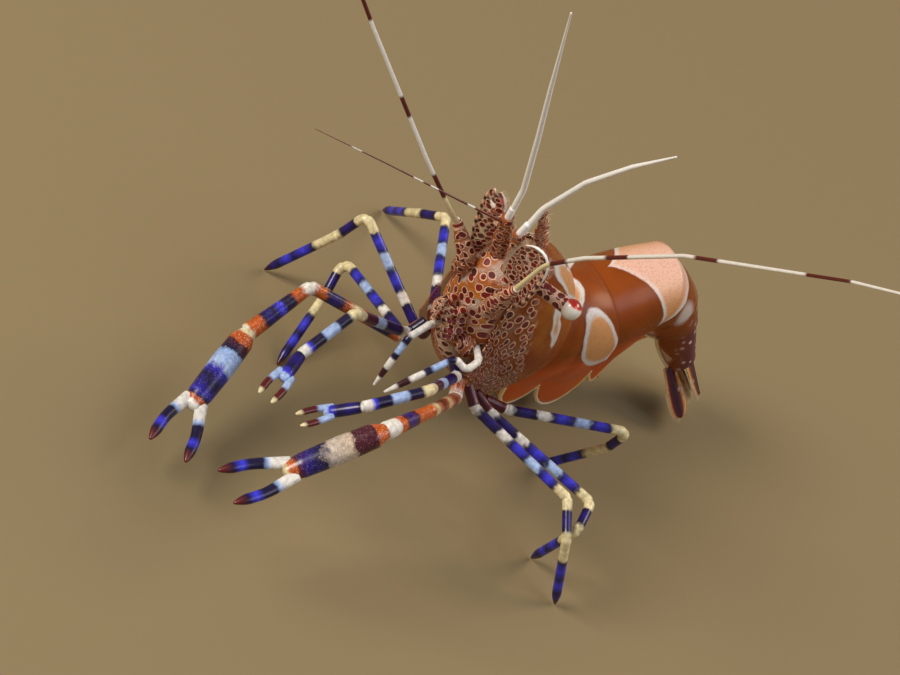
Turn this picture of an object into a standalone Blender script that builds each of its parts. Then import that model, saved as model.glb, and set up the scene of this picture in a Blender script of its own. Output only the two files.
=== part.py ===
"""Spotted cleaner shrimp: a still, life-size model standing on its six walking legs.

World frame: +X is where the body faces, +Y its own left, +Z up, floor at z = 0.
Every length below is in millimetres and every angle in degrees until it is built.
"""
import math

import bmesh
import bpy
from mathutils import Matrix, Vector

MM = 0.001

# ---------------------------------------------------------------- driving dimensions
HIP_HEIGHT = 4.0            # rear end of the carapace axis above the floor
CARAPACE_LENGTH = 6.7
CARAPACE_PITCH = 42         # the head is held high
CARAPACE_YAW = -6
FEELER_RADIUS = 0.25
LEG_RADIUS = 0.27
ARM_RADIUS = 0.27
BEND = 0.27                 # radius of the curve in every joint
CUT = 0.02                  # half the thin cut between two body rings
FOOT_RADIUS = 0.17

# carapace sections: along the axis, half width, up, down, tilt of the section
CARAPACE_SECTIONS = (
    (0.0, 1.40, 1.75, 1.85, -30),
    (0.7, 1.68, 2.00, 2.15, -26),
    (1.8, 1.85, 2.22, 2.32, -18),
    (3.2, 1.85, 2.32, 2.30, -8),
    (4.5, 1.65, 2.25, 1.95, 0),
    (5.5, 1.30, 2.02, 1.45, 0),
    (6.2, 1.02, 1.82, 0.95, 0),
    (6.7, 0.72, 1.62, 0.45, 0),
)
STERNUM_SECTIONS = (
    (0.3, 0.75, -2.35), (1.0, 1.15, -2.55), (2.2, 1.20, -2.70),
    (3.4, 0.98, -2.72), (4.4, 0.75, -2.60), (5.2, 0.55, -2.35),
)
ROSTRUM_ROOT = (5.9, 0.0, 1.75)
ROSTRUM_HEADING = (3, 13)
ROSTRUM_LENGTH = 3.3

# eyes
EYE_BASE = (6.3, 0.70, 0.95)
EYE_STALK = {"right": 1.53, "left": 1.75}
EYE_RADIUS = 0.34
EYE_HEADING = {"right": (-119, 22), "left": (92, 18)}

# head feelers, headings in the head's own frame
SCALE_BASE = {"right": (6.25, 0.92, 0.03), "left": (6.25, 1.05, -0.15)}
SCALE_LENGTH = 3.3
SCALE_WIDTH = 1.15
SCALE_HEADING = {"right": (-5, 31), "left": (0, 33)}
SCALE_SPAN = {"right": 0.72, "left": 1.0}   # share of the full width that is spread
SCALE_ROLL = {"right": 35, "left": -13}   # how far the inner edge is lifted
ANTENNULE_BASE = (6.4, 0.38, 0.62)
ANTENNULE_STALK = 2.6
ANTENNULE_HEADING = {"right": (0, 19), "left": (-3, 19)}
# free branches, headings in the world: (heading, length) for each stretch
ANTENNULE_OUTER = {
    "right": (((-14, 76), 1.6), ((-20, 67), 2.6), ((-20, 66), 2.6), ((-18, 66), 2.6)),
    "left": (((66, 88), 1.4), ((68, 73), 2.2), ((69, 64), 2.2), ((69, 60), 2.0)),
}
ANTENNULE_INNER = {
    "right": (((-37, 12), 2.2), ((-40, 10), 2.6), ((-40, 9), 2.6)),
    "left": (((20, 40), 1.8), ((24, 44), 1.8), ((28, 46), 1.6)),
}
# the stout folded stem of each antenna: root, bend and end, then where its long whip passes
ANTENNA_STALK = {
    "right": ((6.3, -0.80, -0.50), (6.95, -0.74, -0.20), (7.90, -1.55, 0.17)),
    "left": ((6.3, 0.85, -0.60), (7.25, 1.10, -0.10), (8.15, 1.41, 0.39)),
}
ANTENNA_PASS = {"right": (8.87, -1.75, 0.19), "left": (10.0, 1.90, 1.50)}
ANTENNA_SWEEP = {
    "right": (((-50, 41), 2.0), ((-58, 41), 5.0), ((-60, 42), 8.0), ((-60, 44), 9.0)),
    "left": (((64, 58), 2.0), ((62, 53), 5.0), ((61, 47), 8.0), ((60, 44), 8.0)),
}

# mouth
MOUTH_CENTRE = (5.35, 0.0, -1.55)
MAXILLIPED_BASE = {"right": (4.85, 0.50, -2.05), "left": (4.85, 0.75, -1.90)}
MAXILLIPED = {
    "right": (((18, 18), 0.9), ((6, -14), 0.9), ((24, -66), 1.9)),
    "left": (((64, 5), 0.93), ((-19, -26), 2.9)),
}

# claw-bearing limbs: base in the body frame, then (heading, length) out to the palm
ARM_1_BASE = (3.9, 0.80, -2.35)
ARM_2_BASE = (3.15, 1.00, -2.40)
ARM_1 = {
    "right": (((-10, -52), 0.7), ((-19, 22), 3.0), ((3, -30), 2.2)),
    "left": (((49, 4), 0.7), ((9, 22), 3.0), ((-19, -20), 2.2)),
}
CLAW_1 = {"right": ((20, -10), 1.2, (16, -8), 1.2), "left": ((-50, -45), 1.2, (-12, -8), 1.2)}
ARM_2 = {
    "right": (((-15, -47), 0.9), ((-46, 9), 3.6), ((1, -34), 2.5)),
    "left": (((46, -25), 0.9), ((11, 28), 3.6), ((1, 5), 2.5)),
}
CLAW_2 = {"right": ((20, -19), 3.3, (27, -8), 2.2), "left": ((-17, -34), 3.3, (-17, -17), 2.2)}
PALM_2_WIDTH = 0.88
PALM_2_DEPTH = 0.74
FINGER_SPREAD = {("right", 1): 4, ("left", 1): 8, ("right", 2): 13, ("left", 2): 12}

# walking legs: hip, long segment, short segment, then the last one down to the floor
HIP = 0.8
SHANK = 1.3
LAST = 3.0
LEG_BASE = {3: (2.35, 1.20, -2.40), 4: (1.60, 1.35, -2.35), 5: (0.90, 1.50, -2.25)}
LEG_LONG = {3: 4.1, 4: 4.3, 5: 4.1}
LEG = {
    ("right", 3): ((-13, -39), (-111, -16), (31, -36), 23),
    ("right", 4): ((-168, -74), (-91, 20), (-50, -74), -50),
    ("right", 5): ((-140, -10), (-139, 6), (-104, -46), -130),
    ("left", 3): ((81, -25), (101, -1), (59, -26), 126),
    ("left", 4): ((96, -11), (105, -1), (26, -9), -134),
    ("left", 5): ((128, 1), (134, 15), (-126, -76), -85),
}

# abdomen: length, turn to the left and downward slope of each ring of the axis
ABDOMEN = (
    (1.2, 8, -4), (1.7, 11, -16), (2.35, 14, -24), (1.3, 24, 34), (1.1, 33, 47), (1.95, 37, 51),
)
# sections between the rings: half width, up, down, turn, forward pitch
ABDOMEN_SECTIONS = (
    (1.38, 1.70, 1.72, 7, 12), (1.52, 1.72, 2.25, 10, -6), (1.55, 1.54, 2.72, 13, -19),
    (1.28, 1.20, 1.95, 19, 4), (1.02, 0.98, 1.30, 29, 39), (0.82, 0.78, 0.90, 35, 50),
    (0.56, 0.50, 0.56, 37, 42),
)
LOBES = (0.22, 0.28, 0.26, 0.03, 0.08, 0.04)   # how much each side flap hangs below its ring
TAIL_HEADING = (57, 45)
TELSON_LENGTH = 1.75
BLADE_LENGTH = 2.05
BLADE_WIDTH = 0.66
BLADES = {"inner": (0.30, 2), "outer": (0.50, 7)}   # sideways, splay
SWIMMERET = 1.5

COLOURS = {
    "shell": (0.62, 0.30, 0.12), "face": (0.55, 0.16, 0.10), "white": (0.85, 0.83, 0.80),
    "purple": (0.10, 0.05, 0.32), "orange": (0.65, 0.25, 0.06), "tail": (0.16, 0.05, 0.14),
}


# ---------------------------------------------------------------- small tools
def heading(azimuth, elevation):
    a, e = math.radians(azimuth), math.radians(elevation)
    return Vector((math.cos(e) * math.cos(a), math.cos(e) * math.sin(a), math.sin(e)))


HEAD = (Matrix.Translation((0, 0, HIP_HEIGHT))
        @ Matrix.Rotation(math.radians(CARAPACE_YAW), 4, "Z")
        @ Matrix.Rotation(math.radians(-CARAPACE_PITCH), 4, "Y"))


def in_body(point, side="left"):
    """A point of the body frame, mirrored for the right side, in the world."""
    x, y, z = point
    return HEAD @ Vector((x, y if side == "left" else -y, z))


def turned(direction):
    return HEAD.to_3x3() @ direction


def walk(start, stretches):
    points = [Vector(start)]
    for (azimuth, elevation), length in stretches:
        points.append(points[-1] + heading(azimuth, elevation) * length)
    return points


def colour(obj, name):
    material = bpy.data.materials.new(obj.name)
    material.use_nodes = True
    shader = material.node_tree.nodes["Principled BSDF"]
    shader.inputs["Base Color"].default_value = (*COLOURS[name], 1)
    shader.inputs["Roughness"].default_value = 0.4
    obj.data.materials.append(material)


def body(name, mesh, colour_name, collection):
    data = bpy.data.meshes.new(name)
    bmesh.ops.recalc_face_normals(mesh, faces=mesh.faces[:])
    if mesh.calc_volume(signed=True) < 0:
        bmesh.ops.reverse_faces(mesh, faces=mesh.faces[:])
    mesh.to_mesh(data)
    mesh.free()
    obj = bpy.data.objects.new(name, data)
    collection.objects.link(obj)
    colour(obj, colour_name)
    return obj


def loft(name, rings, colour_name, collection, poles=(None, None), floor=False):
    """Skins a row of rings given in mm. A pole closes an end in a point, otherwise it is flat."""
    mesh = bmesh.new()
    rows = [[mesh.verts.new(Vector(p) * MM) for p in ring] for ring in rings]
    count = len(rows[0])
    for first, second in zip(rows[:-1], rows[1:]):
        for i in range(count):
            j = (i + 1) % count
            mesh.faces.new((first[i], first[j], second[j], second[i]))
    for row, pole in ((rows[0], poles[0]), (rows[-1], poles[1])):
        if pole is None:
            mesh.faces.new(row)
        else:
            tip = mesh.verts.new(Vector(pole) * MM)
            for i in range(count):
                mesh.faces.new((row[i], row[(i + 1) % count], tip))
    if floor:
        whole = mesh.verts[:] + mesh.edges[:] + mesh.faces[:]
        cut = bmesh.ops.bisect_plane(
            mesh, geom=whole, plane_co=(0, 0, 0), plane_no=(0, 0, -1), clear_outer=True)
        edges = [e for e in cut["geom_cut"] if isinstance(e, bmesh.types.BMEdge)]
        bmesh.ops.holes_fill(mesh, edges=edges)
        for vert in mesh.verts:
            if abs(vert.co.z) < 1e-9:
                vert.co.z = 0.0
    bmesh.ops.recalc_face_normals(mesh, faces=mesh.faces[:])
    return body(name, mesh, colour_name, collection)


def smooth_path(points, radii, bend=BEND):
    """Rounds every corner of a polyline by an arc and gives (point, radius) pairs."""
    out = [(points[0], radii[0])]
    for k in range(1, len(points) - 1):
        before = (points[k - 1] - points[k])
        after = (points[k + 1] - points[k])
        turn = math.pi - before.angle(after)
        if turn < math.radians(6):
            out.append((points[k], radii[k]))
            continue
        reach = min(bend * math.tan(turn / 2), 0.45 * before.length, 0.45 * after.length)
        a, b = before.normalized(), after.normalized()
        radius = reach / math.tan(turn / 2)
        axis = (a + b).normalized()
        centre = points[k] + axis * (radius / math.cos(turn / 2))
        start = points[k] + a * reach - centre
        end = points[k] + b * reach - centre
        steps = 2 if turn < math.radians(50) else 4
        for s in range(steps + 1):
            t = s / steps
            out.append((centre + start.normalized().slerp(end.normalized(), t) * radius, radii[k]))
    out.append((points[-1], radii[-1]))
    return out


def tube(name, points, radii, colour_name, collection, sides=8, bend=BEND, flat=None, floor=False,
         tip=True):
    """A round limb along a polyline; flat = (normal, thickness ratio) presses it."""
    path = smooth_path(points, radii, bend)
    places = [p for p, _ in path]
    rings = []
    side = None
    for k, (place, radius) in enumerate(path):
        back = (place - places[k - 1]).normalized() if k else None
        ahead = (places[k + 1] - place).normalized() if k < len(path) - 1 else None
        along = (back + ahead).normalized() if back and ahead else (back or ahead)
        if side is None:
            side = along.cross(flat[0]).normalized() if flat else along.orthogonal().normalized()
        side = (side - along * side.dot(along)).normalized()
        other = along.cross(side)
        ratio = flat[1] if flat else 1.0
        rings.append([
            place + (side * math.cos(2 * math.pi * i / sides)
                     + other * (math.sin(2 * math.pi * i / sides) * ratio)) * radius
            for i in range(sides)])
    end = places[-1] + (places[-1] - places[-2]).normalized() * radii[-1] * 0.5 if tip else None
    return loft(name, rings, colour_name, collection, poles=(None, end), floor=floor)


def cut_by(obj, cutters):
    """Takes the neighbours' bodies out of this one, so that the two only touch."""
    for cutter in cutters:
        modifier = obj.modifiers.new("less_" + cutter.name[:40], "BOOLEAN")
        modifier.operation = "DIFFERENCE"
        modifier.solver = "EXACT"
        modifier.object = cutter
    return obj


def oval_section(half_width, up, down, count, keel=0.0):
    """Points of a body section: a dome above, a pinched wall below."""
    points = []
    for i in range(count):
        a = 2 * math.pi * i / count
        c, s = math.cos(a), math.sin(a)
        if s >= 0:
            y = half_width * math.copysign(abs(c) ** 0.85, c)
            z = up * s ** 0.95 + keel * max(0.0, s - 0.9)
        else:
            y = half_width * math.copysign(abs(c) ** 0.65, c) * (1 + 0.16 * s)
            z = -down * (-s) ** 0.80
        points.append((y, z))
    return points


# ---------------------------------------------------------------- clear the scene
for old in list(bpy.data.objects):
    bpy.data.objects.remove(old, do_unlink=True)
SHRIMP = bpy.data.collections.new("shrimp")
bpy.context.scene.collection.children.link(SHRIMP)

# ---------------------------------------------------------------- cephalothorax
rings = []
for x, half_width, up, down, tilt in CARAPACE_SECTIONS:
    t = math.radians(tilt)
    rise = Vector((-math.sin(t), 0, math.cos(t)))
    rings.append([HEAD @ (Vector((x, 0, 0)) + Vector((0, y, 0)) + rise * z)
                  for y, z in oval_section(half_width, up, down, 20)])
carapace = loft("carapace", rings, "face", SHRIMP, poles=(None, in_body((6.85, 0, 0.75))))

rings = []
for x, half_width, low in STERNUM_SECTIONS:
    ring = []
    for i in range(12):
        a = 2 * math.pi * i / 12
        ring.append(HEAD @ Vector((x, half_width * math.cos(a), (low - 1.2) / 2
                                   + (low + 1.2) / 2 * -math.sin(a))))
    rings.append(ring)
sternum = cut_by(loft("thorax_underside", rings, "shell", SHRIMP), [carapace])

forward = turned(heading(*ROSTRUM_HEADING))
root = in_body(ROSTRUM_ROOT)
upward = turned(Vector((0, 0, 1)))
sideways = turned(Vector((0, 1, 0)))
rings = []
for share, deep, wide in ((0.0, 0.62, 0.34), (0.25, 0.56, 0.28), (0.55, 0.42, 0.25), (0.85, 0.28, 0.20),
                          (1.0, 0.16, 0.14)):
    middle = root + forward * ROSTRUM_LENGTH * share
    rings.append([middle + upward * deep * math.sin(a) + sideways * wide * math.cos(a)
                  for a in [2 * math.pi * i / 8 for i in range(8)]])
rostrum = cut_by(loft("rostrum", rings, "face", SHRIMP), [carapace])

mouth_rings = []
for along, half_width, half_height in ((-0.9, 0.55, 0.35), (-0.4, 0.85, 0.62), (0.3, 0.88, 0.78),
                                       (0.9, 0.72, 0.66), (1.25, 0.42, 0.38)):
    x, y, z = MOUTH_CENTRE
    mouth_rings.append([HEAD @ Vector((x + along, half_width * math.cos(a),
                                       z + along * 0.35 + half_height * math.sin(a)))
                        for a in [2 * math.pi * i / 12 for i in range(12)]])
mouth = loft("mouthparts", mouth_rings, "face", SHRIMP)
mouth.hide_render = True
mouth.display_type = "WIRE"
sternum.modifiers.clear()
join = sternum.modifiers.new("with_mouthparts", "BOOLEAN")
join.operation = "UNION"
join.solver = "EXACT"
join.object = mouth
cut_by(sternum, [carapace])

# ---------------------------------------------------------------- eyes and feelers
for side in ("right", "left"):
    sign = 1 if side == "left" else -1
    base = in_body(ANTENNULE_BASE, side)
    lead = turned(heading(*ANTENNULE_HEADING[side]))
    antennule_end = base + lead * ANTENNULE_STALK
    stem = tube("antennule_base_" + side, [base, base + lead * 1.5, antennule_end],
                [0.32, 0.32, 0.28], "face", SHRIMP, tip=False)
    cut_by(stem, [carapace, rostrum])

    base = in_body(EYE_BASE, side)
    centre = base + turned(heading(*EYE_HEADING[side])) * EYE_STALK[side]
    ball = bmesh.new()
    bmesh.ops.create_uvsphere(ball, u_segments=16, v_segments=10, radius=EYE_RADIUS * MM)
    toward = (centre - base).normalized()
    spin = Vector((0, 0, 1)).rotation_difference(toward).to_matrix().to_4x4()
    bmesh.ops.transform(ball, matrix=Matrix.Translation(centre * MM) @ spin, verts=ball.verts[:])
    eye = body("eye_" + side, ball, "white", SHRIMP)
    stalk = tube("eyestalk_" + side, [base - toward * 0.15, base + toward * 0.85, centre + toward * 0.03],
                 [0.30, 0.26, 0.27], "face", SHRIMP, tip=False)
    cut_by(stalk, [carapace, eye, stem])

    scale_base = in_body(SCALE_BASE[side], side)
    along = turned(heading(*SCALE_HEADING[side]))
    roll = math.radians(SCALE_ROLL[side])
    across = turned(Vector((0, sign * math.cos(roll), -math.sin(roll))))
    across = (across - along * across.dot(along)).normalized()
    normal = along.cross(across)
    rings = []
    for share, inner, outer in ((0.10, 0.26, 0.26), (0.2, 0.36, 0.36), (0.35, 0.52, 0.50),
                                (0.55, 0.60, 0.55), (0.8, 0.52, 0.55), (0.93, 0.34, 0.46),
                                (1.0, 0.10, 0.25)):
        middle = scale_base + along * SCALE_LENGTH * share
        ring = []
        for i in range(10):
            a = 2 * math.pi * i / 10
            reach = outer if math.cos(a) > 0 else inner
            ring.append(middle + across * math.cos(a) * reach * SCALE_SPAN[side] * SCALE_WIDTH / 1.1
                        + normal * math.sin(a) * 0.26)
        rings.append(ring)
    scale = loft("antennal_scale_" + side, rings, "face", SHRIMP)

    stalk_line = [HEAD @ Vector(p) for p in ANTENNA_STALK[side]]
    stem_end = stalk_line[-1]
    antenna_stem = tube("antenna_base_" + side, stalk_line, [0.40, 0.38, 0.32], "face", SHRIMP,
                        bend=0.6, tip=False)
    cut_by(scale, [carapace, antenna_stem, stalk, stem])

    start = antennule_end - lead * 0.1
    points = walk(start, ANTENNULE_OUTER[side])
    outer = tube("antennule_outer_" + side, points, [FEELER_RADIUS] * (len(points) - 1) + [0.2],
                 "white", SHRIMP, sides=6, bend=1.0)
    cut_by(outer, [stem])
    points = walk(start - upward * 0.13, ANTENNULE_INNER[side])
    inner = tube("antennule_inner_" + side, points, [FEELER_RADIUS] * (len(points) - 1) + [0.2],
                 "white", SHRIMP, sides=6, bend=1.0)
    cut_by(inner, [stem, outer, scale])

    points = [stem_end - (stem_end - stalk_line[1]).normalized() * 0.1]
    points += walk(HEAD @ Vector(ANTENNA_PASS[side]), ANTENNA_SWEEP[side])
    antenna = tube("antenna_" + side, points, [FEELER_RADIUS] * (len(points) - 1) + [0.2],
                   "white", SHRIMP, sides=6, bend=2.5)
    cut_by(antenna, [antenna_stem])
    cut_by(antenna_stem, [carapace, sternum])

    points = walk(in_body(MAXILLIPED_BASE[side], side), MAXILLIPED[side])
    maxilliped = tube("maxilliped_" + side, points, [0.27, 0.27, 0.25, 0.16], "white", SHRIMP)
    cut_by(maxilliped, [carapace, sternum])

# ---------------------------------------------------------------- claws
for side in ("right", "left"):
    for number, base, arm, claw in ((1, ARM_1_BASE, ARM_1, CLAW_1), (2, ARM_2_BASE, ARM_2, CLAW_2)):
        points = walk(in_body(base, side), arm[side])
        wrist = points[-1]
        palm_heading, palm_length, finger_heading, finger_length = claw[side]
        limb = tube(f"arm_{number}_{side}", points, [ARM_RADIUS, ARM_RADIUS, ARM_RADIUS, 0.29],
                    "orange" if number == 2 else "purple", SHRIMP, tip=False)
        cut_by(limb, [carapace, sternum])
        if number == 1:
            cut_by(limb, [bpy.data.objects["maxilliped_" + side]])
        along = heading(*palm_heading)
        out = (heading(*finger_heading) - along * heading(*finger_heading).dot(along))
        across = along.cross(Vector((0, 0, 1))).normalized()
        flat = across.cross(along).normalized()
        palm_end = wrist + along * palm_length
        if number == 1:
            spread = 0.20
            width, depth = 0.27, 0.25
        else:
            spread = 0.24
            width, depth = PALM_2_WIDTH / 2, PALM_2_DEPTH / 2
        rings = []
        for share, w, d in ((0.0, 0.27, 0.27), (0.10, 0.8, 0.85), (0.35, 1.0, 1.0), (0.75, 1.0, 1.0),
                            (1.0, 0.92, 0.85)):
            w = w if share == 0 else w * width
            d = d if share == 0 else d * depth
            middle = wrist + along * (0.02 + palm_length * share)
            rings.append([middle + across * w * math.cos(a) + flat * d * math.sin(a)
                          for a in [2 * math.pi * i / 10 for i in range(10)]])
        palm = loft(f"palm_{number}_{side}", rings, "orange" if number == 2 else "purple", SHRIMP)
        fingers = []
        splay = math.radians(FINGER_SPREAD[(side, number)])
        for label, way in (("finger", -1), ("dactyl", 1)):
            root = palm_end + across * way * spread - along * 0.05
            line = heading(*finger_heading)
            line = (Matrix.Rotation(-way * splay, 3, flat) @ line).normalized()
            mid = root + line * finger_length * 0.55 + across * way * 0.04
            tip = root + line * finger_length
            piece = tube(f"{label}_{number}_{side}", [root, mid, tip], [0.25, 0.22, 0.12], "purple",
                         SHRIMP, bend=1.5)
            fingers.append(piece)
        if number == 1:
            for piece in fingers:
                join = palm.modifiers.new("with_" + piece.name, "BOOLEAN")
                join.operation = "UNION"
                join.solver = "EXACT"
                join.object = piece
                piece.hide_render = True
                piece.display_type = "WIRE"
        else:
            cut_by(fingers[0], [palm])
            cut_by(fingers[1], [palm, fingers[0]])

# ---------------------------------------------------------------- walking legs
for side in ("right", "left"):
    for number in (3, 4, 5):
        hip, long_one, short_one, last = LEG[(side, number)]
        points = walk(in_body(LEG_BASE[number], side), (
            (hip, HIP), (long_one, LEG_LONG[number]), (short_one, SHANK)))
        wrist = points[-1]
        slope = math.degrees(math.asin(wrist.z / LAST))
        foot = heading(last, -slope)
        points.append(wrist + foot * LAST)
        points.append(points[-1] + foot * 0.5)
        tube(f"leg_{number}_{side}", points,
             [LEG_RADIUS, LEG_RADIUS, LEG_RADIUS, LEG_RADIUS, FOOT_RADIUS, FOOT_RADIUS],
             "purple", SHRIMP, floor=True)
        cut_by(bpy.data.objects[f"leg_{number}_{side}"], [carapace, sternum])

# ---------------------------------------------------------------- abdomen
def rear(turn, slope):
    t, s = math.radians(turn), math.radians(slope)
    return Vector((-math.cos(s) * math.cos(t), math.cos(s) * math.sin(t), -math.sin(s)))


centres = [Vector((0, 0, HIP_HEIGHT))]
for length, turn, slope in ABDOMEN:
    centres.append(centres[-1] + rear(turn, slope) * length)


def ring_axes(turn, pitch):
    back = rear(turn, pitch)
    left = Vector((math.sin(math.radians(turn)), math.cos(math.radians(turn)), 0))
    return -back, left, (-back).cross(left)


abdomen = []
for k in range(6):
    first, last = ABDOMEN_SECTIONS[k], ABDOMEN_SECTIONS[k + 1]
    rings = []
    steps = 5 if k == 2 else 4
    for s in range(steps):
        t = s / (steps - 1)
        mix = [a + (b - a) * t for a, b in zip(first, last)]
        bulge = 1 + 0.05 * math.sin(math.pi * t)
        lobe = 1 + LOBES[k] * math.sin(math.pi * t)
        ahead, left, up = ring_axes(mix[3], mix[4])
        middle = centres[k].lerp(centres[k + 1], t)
        if k == 2:
            middle += up * 0.14 * math.sin(math.pi * t)
        middle += ahead * (-CUT if s == 0 else CUT if s == steps - 1 else 0)
        rings.append([middle + left * y + up * z
                      for y, z in oval_section(mix[0] * bulge, mix[1] * bulge, mix[2] * lobe, 16)])
    abdomen.append(loft(f"abdomen_{k + 1}", rings, "shell", SHRIMP))
cut_by(abdomen[0], [carapace, sternum])

# swimming limbs under rings 1 to 5
for k in range(5):
    for side in ("right", "left"):
        sign = 1 if side == "left" else -1
        first, last = ABDOMEN_SECTIONS[k], ABDOMEN_SECTIONS[k + 1]
        mix = [(a + b) / 2 for a, b in zip(first, last)]
        ahead, left, up = ring_axes(mix[3], mix[4])
        middle = centres[k].lerp(centres[k + 1], (0.5, 0.5, 0.5, 0.6, 0.72)[k])
        root = middle + left * sign * mix[0] * 0.50 - up * mix[2] * 0.80
        size = SWIMMERET * (0.6 + 0.4 * mix[0] / 1.5)
        knee = root - up * (0.20 * mix[2] + 0.40 * size) + ahead * 0.1
        end = knee - up * 0.5 * size - ahead * 0.45 * size
        limb = tube(f"swimmeret_{k + 1}_{side}", [root, knee, end], [0.25, 0.28, 0.16], "shell",
                    SHRIMP, sides=6)
        cut_by(limb, abdomen[max(0, k - 1):k + 2])

# ---------------------------------------------------------------- tail fan
turn, slope = TAIL_HEADING
ahead, left, up = ring_axes(turn, slope)
back = -ahead
root = centres[-1]
rings = []
for share, wide, deep in ((0.0, 0.40, 0.25), (0.2, 0.46, 0.25), (0.6, 0.38, 0.25), (1.0, 0.22, 0.22)):
    middle = root + up * 0.26 + back * (0.06 + TELSON_LENGTH * share)
    rings.append([middle + left * wide * math.cos(a) + up * deep * math.sin(a)
                  for a in [2 * math.pi * i / 10 for i in range(10)]])
telson = loft("telson", rings, "tail", SHRIMP)
for side in ("right", "left"):
    sign = 1 if side == "left" else -1
    made = []
    for which in ("inner", "outer"):
        offset, splay = BLADES[which]
        start = root + left * offset * sign - up * 0.27 + back * 0.12
        line = (Matrix.Rotation(math.radians(-splay * sign), 3, up) @ back).normalized()
        wide_way = up.cross(line).normalized()
        rings = []
        for share, half in ((0.0, 0.38), (0.15, 0.42), (0.4, 0.48), (0.7, 0.50), (0.9, 0.38), (1.0, 0.20)):
            middle = start + line * BLADE_LENGTH * share
            rings.append([middle + wide_way * half * BLADE_WIDTH * math.cos(a) + up * 0.25 * math.sin(a)
                          for a in [2 * math.pi * i / 10 for i in range(10)]])
        made.append(loft(f"uropod_{which}_{side}", rings, "tail", SHRIMP))
    cut_by(made[1], [made[0]])

# ---------------------------------------------------------------- centre the model on the origin
bpy.context.view_layer.update()
graph = bpy.context.evaluated_depsgraph_get()
low, high = Vector((1e9,) * 3), Vector((-1e9,) * 3)
for obj in SHRIMP.objects:
    if obj.hide_render:
        continue
    shape = obj.evaluated_get(graph)
    for corner in shape.bound_box:
        low = Vector(map(min, low, corner))
        high = Vector(map(max, high, corner))
shift = Vector((-(low.x + high.x) / 2, -(low.y + high.y) / 2, 0))
for obj in SHRIMP.objects:
    obj.data.transform(Matrix.Translation(shift))
print("bounds mm", [round(v / MM, 2) for v in (*low, *high)], "shift", [round(v / MM, 3) for v in shift])
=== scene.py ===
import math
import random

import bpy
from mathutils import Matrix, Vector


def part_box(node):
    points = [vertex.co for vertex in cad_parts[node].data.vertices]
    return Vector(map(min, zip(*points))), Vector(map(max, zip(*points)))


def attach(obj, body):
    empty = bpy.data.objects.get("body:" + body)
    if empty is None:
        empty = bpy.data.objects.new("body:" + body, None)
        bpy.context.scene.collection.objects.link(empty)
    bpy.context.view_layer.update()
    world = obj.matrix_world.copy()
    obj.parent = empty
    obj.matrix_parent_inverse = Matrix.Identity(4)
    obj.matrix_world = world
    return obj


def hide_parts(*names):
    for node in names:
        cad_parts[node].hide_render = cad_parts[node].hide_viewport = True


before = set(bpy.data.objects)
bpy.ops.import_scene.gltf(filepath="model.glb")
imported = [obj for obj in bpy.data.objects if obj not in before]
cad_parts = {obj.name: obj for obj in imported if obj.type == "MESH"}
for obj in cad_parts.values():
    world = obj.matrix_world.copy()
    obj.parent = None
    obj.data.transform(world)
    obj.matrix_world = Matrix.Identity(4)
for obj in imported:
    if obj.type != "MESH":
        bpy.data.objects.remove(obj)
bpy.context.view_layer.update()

# %% [markdown]
# # A spotted cleaner shrimp, life size
#
# The animal is about 22 mm long and almost see-through. A real one is a stack of thin
# chitin shells over orange flesh, with purple and white limbs jointed like tubes. The frame
# above already holds plain solids in the right places. Here each of them is replaced by a
# shell, limb or feeler with its true thickness, its joints and its colouring.
#
# Points are worked out in millimetres, in the animal's own axes, and turned to metres at the
# very end, because numbers such as 0.16 mm are easier to check against a real limb.

MM = 0.001
random.seed(11)
SIDES = {"right": -1, "left": 1}


# %% [markdown]
# ## Where the animal stands
#
# The carapace has its own axes: x runs forward along the back, y to the animal's left and z
# up through the back. The head is held high, so those axes are pitched by 42 degrees and
# turned 6 degrees to the right. Everything on the head and chest is placed in them, and one
# matrix carries it to the floor's axes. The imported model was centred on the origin, so the
# last small slide is found from the left eye, whose place is known in both.

# %% The body's own axes
HIP_HEIGHT = 4.0
PITCH = 42
YAW = -6
HEAD = (Matrix.Translation((0, 0, HIP_HEIGHT))
        @ Matrix.Rotation(math.radians(YAW), 4, "Z")
        @ Matrix.Rotation(math.radians(-PITCH), 4, "Y"))


def heading(azimuth, elevation):
    a = math.radians(azimuth)
    e = math.radians(elevation)
    return Vector((math.cos(e) * math.cos(a), math.cos(e) * math.sin(a), math.sin(e)))


def in_body(point, side="left"):
    x, y, z = point
    return HEAD @ Vector((x, y * SIDES[side], z))


def turned(direction):
    return HEAD.to_3x3() @ direction


def walk(start, stretches):
    points = [Vector(start)]
    for way, length in stretches:
        points.append(points[-1] + heading(*way) * length)
    return points


def circle(count):
    """Cosines and sines of even steps round a circle."""
    return [(math.cos(math.tau * i / count), math.sin(math.tau * i / count)) for i in range(count)]


def hump(gap, width):
    """1 in the middle, where gap is 0, and smoothly down to 0 on both sides."""
    return math.exp(-(gap / width) ** 2)


def clamped(value, lowest=0.0, highest=1.0):
    return min(max(value, lowest), highest)


FORWARD = turned(heading(3, 13))        # the way the rostrum points
UPWARD = turned(Vector((0, 0, 1)))
SIDEWAYS = turned(Vector((0, 1, 0)))
EYE_BASE = (6.3, 0.70, 0.95)
EYE_STALK = {"right": 1.53, "left": 1.75}
EYE_HEADING = {"right": (-119, 22), "left": (92, 18)}
EYE_CENTRE = {side: in_body(EYE_BASE, side) + turned(heading(*EYE_HEADING[side])) * EYE_STALK[side]
              for side in SIDES}
low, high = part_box("eye_left")
SLIDE = (Vector(low) + Vector(high)) / 2 / MM - EYE_CENTRE["left"]
print("slide to the packed frame in mm:", [round(v, 3) for v in SLIDE])


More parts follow.
